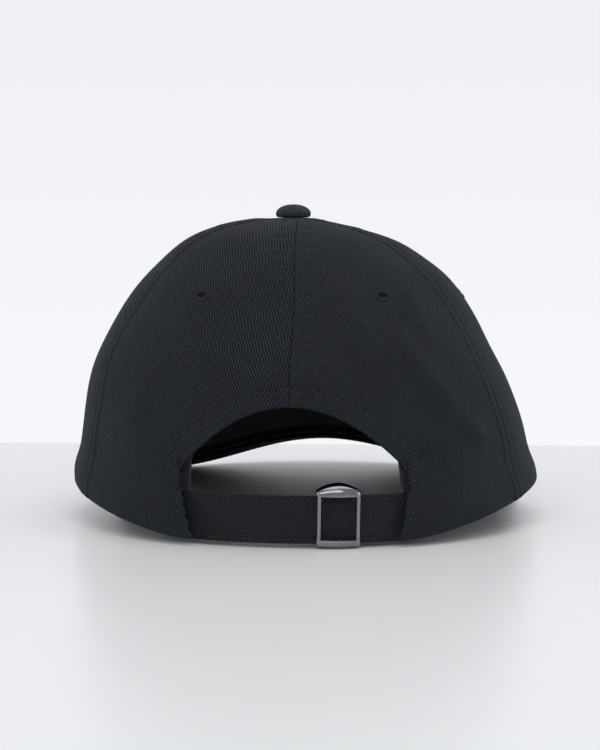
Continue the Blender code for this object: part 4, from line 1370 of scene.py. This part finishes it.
def make_buckle(materials):
    bottom_edge, top_edge = STRAP_BOTTOM - GAP, STRAP_TOP + GAP
    parts = [
        rail_mesh(top_edge, top_edge - 0.5 * MM, top_edge + 4.0 * MM, top_edge + 1.2 * MM),
        rail_mesh(bottom_edge, bottom_edge + 1.9 * MM, 0.02 * MM, 0.5 * MM),
        bar_mesh(1, bottom_edge + 0.3 * MM, top_edge + 0.4 * MM),
        bar_mesh(-1, bottom_edge + 0.3 * MM, top_edge + 0.4 * MM),
    ]
    points, faces, start = [], [], 0
    for verts, quads in parts:
        points.append(verts)
        faces += [[i + start for i in face] for face in quads]
        start += len(verts)
    place = Matrix.Translation(on_strap(BUCKLE_ANGLE, BAR_ORBIT, 0.0))
    middle = Matrix.Translation((0, 0, 10 * MM))
    lean = middle @ Matrix.Rotation(BUCKLE_LEAN, 4, "Y") @ middle.inverted()
    place = np.array(place @ Matrix.Rotation(-BUCKLE_ANGLE, 4, "Z") @ lean)
    flat = np.concatenate(points)
    moved = flat @ place[:3, :3].T + place[:3, 3]
    made = make_piece("buckle_frame_metal", moved, faces, None, materials["gunmetal"], "buckle", 60)
    fix_normals(made)
    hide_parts("buckle_frame")


def fix_normals(piece):
    """Turns every face of a piece made of closed parts outwards."""
    shape = bmesh.new()
    shape.from_mesh(piece.data)
    bmesh.ops.recalc_face_normals(shape, faces=shape.faces)
    shape.to_mesh(piece.data)
    shape.free()


def finish_hidden_nodes(frame, materials):
    """The frame's own nodes that stay: the board, the button's inside and the centre bar."""
    kept = {
        "visor_board": "board",
        "button_shell": "steel",
        "button_rivet": "steel",
        "button_washer": "steel",
        "buckle_centre_bar": "gunmetal",
    }
    for node, name in kept.items():
        for slot in frame["nodes"][node].material_slots:
            slot.material = materials[name]


# Floor, light and camera


def make_table():
    s = Shader("table")
    place = s.object_place()
    grain = s.noise(place, 60.0, 3.0)
    tone = s.blend(grain, (0.84, 0.842, 0.832, 1), (0.86, 0.862, 0.852, 1))
    s.set(colour=tone, roughness=0.3, specular=0.35)
    s.set(normal=s.bump(grain, 0.02 * MM, 0.1))
    width, back, drop = 2.5, 2.5, 0.03
    outline = [(-width, TABLE_EDGE_Y), (width, TABLE_EDGE_Y), (width, back), (-width, back)]
    points = [(x, y, -0.0001) for x, y in outline] + [(x, y, -drop) for x, y in outline]
    faces = [[0, 1, 2, 3], [7, 6, 5, 4]] + [[i, i + 4, (i + 1) % 4 + 4, (i + 1) % 4] for i in range(4)]
    mesh = bpy.data.meshes.new("table")
    mesh.from_pydata(points, [], faces)
    mesh.materials.append(s.material)
    table = bpy.data.objects.new("table", mesh)
    bpy.context.scene.collection.objects.link(table)


def make_wall():
    """A pale wall behind the table that glows instead of being lit, with painted light a little
    brighter towards the bottom.
    """
    s = Shader("wall")
    place = s.object_place()
    split = s.node("ShaderNodeSeparateXYZ", i0=place)
    rise = s.span(split.outputs[2], -0.3, 0.7)
    tone = s.blend(rise, (0.93, 0.94, 0.965, 1), (0.85, 0.86, 0.895, 1))
    # Painted light: the wall's brightness comes from its own emission, not from the lamps.
    s.put(s.surface.inputs["Emission Color"], tone)
    s.surface.inputs["Emission Strength"].default_value = 1.0
    s.set(colour=(0.0, 0.0, 0.0, 1), roughness=1.0, specular=0.0)
    y, wide, low, high = -2.6, 5.0, -1.5, 3.0
    points = [(-wide, y, low), (wide, y, low), (wide, y, high), (-wide, y, high)]
    mesh = bpy.data.meshes.new("wall")
    mesh.from_pydata(points, [], [[0, 1, 2, 3]])
    mesh.materials.append(s.material)
    wall = bpy.data.objects.new("wall", mesh)
    bpy.context.scene.collection.objects.link(wall)


def area_light(name, place, target, size, power, colour):
    light = bpy.data.lights.new(name, "AREA")
    light.shape = "RECTANGLE"
    light.size, light.size_y = size
    light.energy = power
    light.color = colour
    made = bpy.data.objects.new(name, light)
    made.location = place
    made.rotation_euler = (Vector(target) - Vector(place)).to_track_quat("-Z", "Y").to_euler()
    bpy.context.scene.collection.objects.link(made)


def make_light():
    world = bpy.context.scene.world or bpy.data.worlds.new("world")
    bpy.context.scene.world = world
    world.use_nodes = True
    back = world.node_tree.nodes["Background"]
    back.inputs["Color"].default_value = (0.90, 0.93, 1.0, 1)
    back.inputs["Strength"].default_value = 0.54
    area_light("over", (-0.2, 0.15, 1.6), (0, -0.1, 0.0), (1.6, 1.2), 8.5, (1.0, 0.99, 0.98))
    area_light("front", (0.1, 1.75, 0.95), (0, 0, 0.05), (2.0, 0.8), 9.5, (0.98, 0.99, 1.0))
    for side in (-1, 1):
        area_light("side", (side * 1.5, 0.4, 0.4), (0, 0, 0.02), (0.9, 0.6), 3.5, (0.98, 0.99, 1.0))


def make_camera():
    data = bpy.data.cameras.new("camera")
    data.lens = LENS
    data.sensor_width = 36.0
    camera = bpy.data.objects.new("camera", data)
    bpy.context.scene.collection.objects.link(camera)
    camera.location = (
        -VIEW_DISTANCE * math.sin(VIEW_TURN),
        VIEW_DISTANCE * math.cos(VIEW_TURN),
        VIEW_HEIGHT,
    )
    heading = VIEW_TURN + VIEW_PAN
    ahead = Vector(
        (
            math.sin(heading) * math.cos(VIEW_PITCH),
            -math.cos(heading) * math.cos(VIEW_PITCH),
            -math.sin(VIEW_PITCH),
        )
    )
    camera.rotation_euler = ahead.to_track_quat("-Z", "Y").to_euler()
    bpy.context.scene.camera = camera


def corners(box):
    return [[float(part) for part in corner] for corner in box]


def main():
    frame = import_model()
    bpy.context.scene.view_settings.view_transform = "Standard"
    make_camera()
    make_light()
    make_table()
    make_wall()
    materials = make_materials()
    for kind in ("back", "side", "front"):
        for side in ("left", "right"):
            make_panel(kind, side, materials)
    stitch_piece("cap_seam_stitches", seam_rows(), materials)
    stitch_piece("cap_opening_stitches", opening_rows(), materials)
    make_tapes(materials)
    make_stiffeners(materials)
    make_facing(materials)
    make_sweatband(materials)
    make_visor(materials)
    make_button(materials)
    make_eyelets(materials)
    make_strap(materials)
    make_tab(materials)
    make_buckle(materials)
    finish_hidden_nodes(frame, materials)


main()
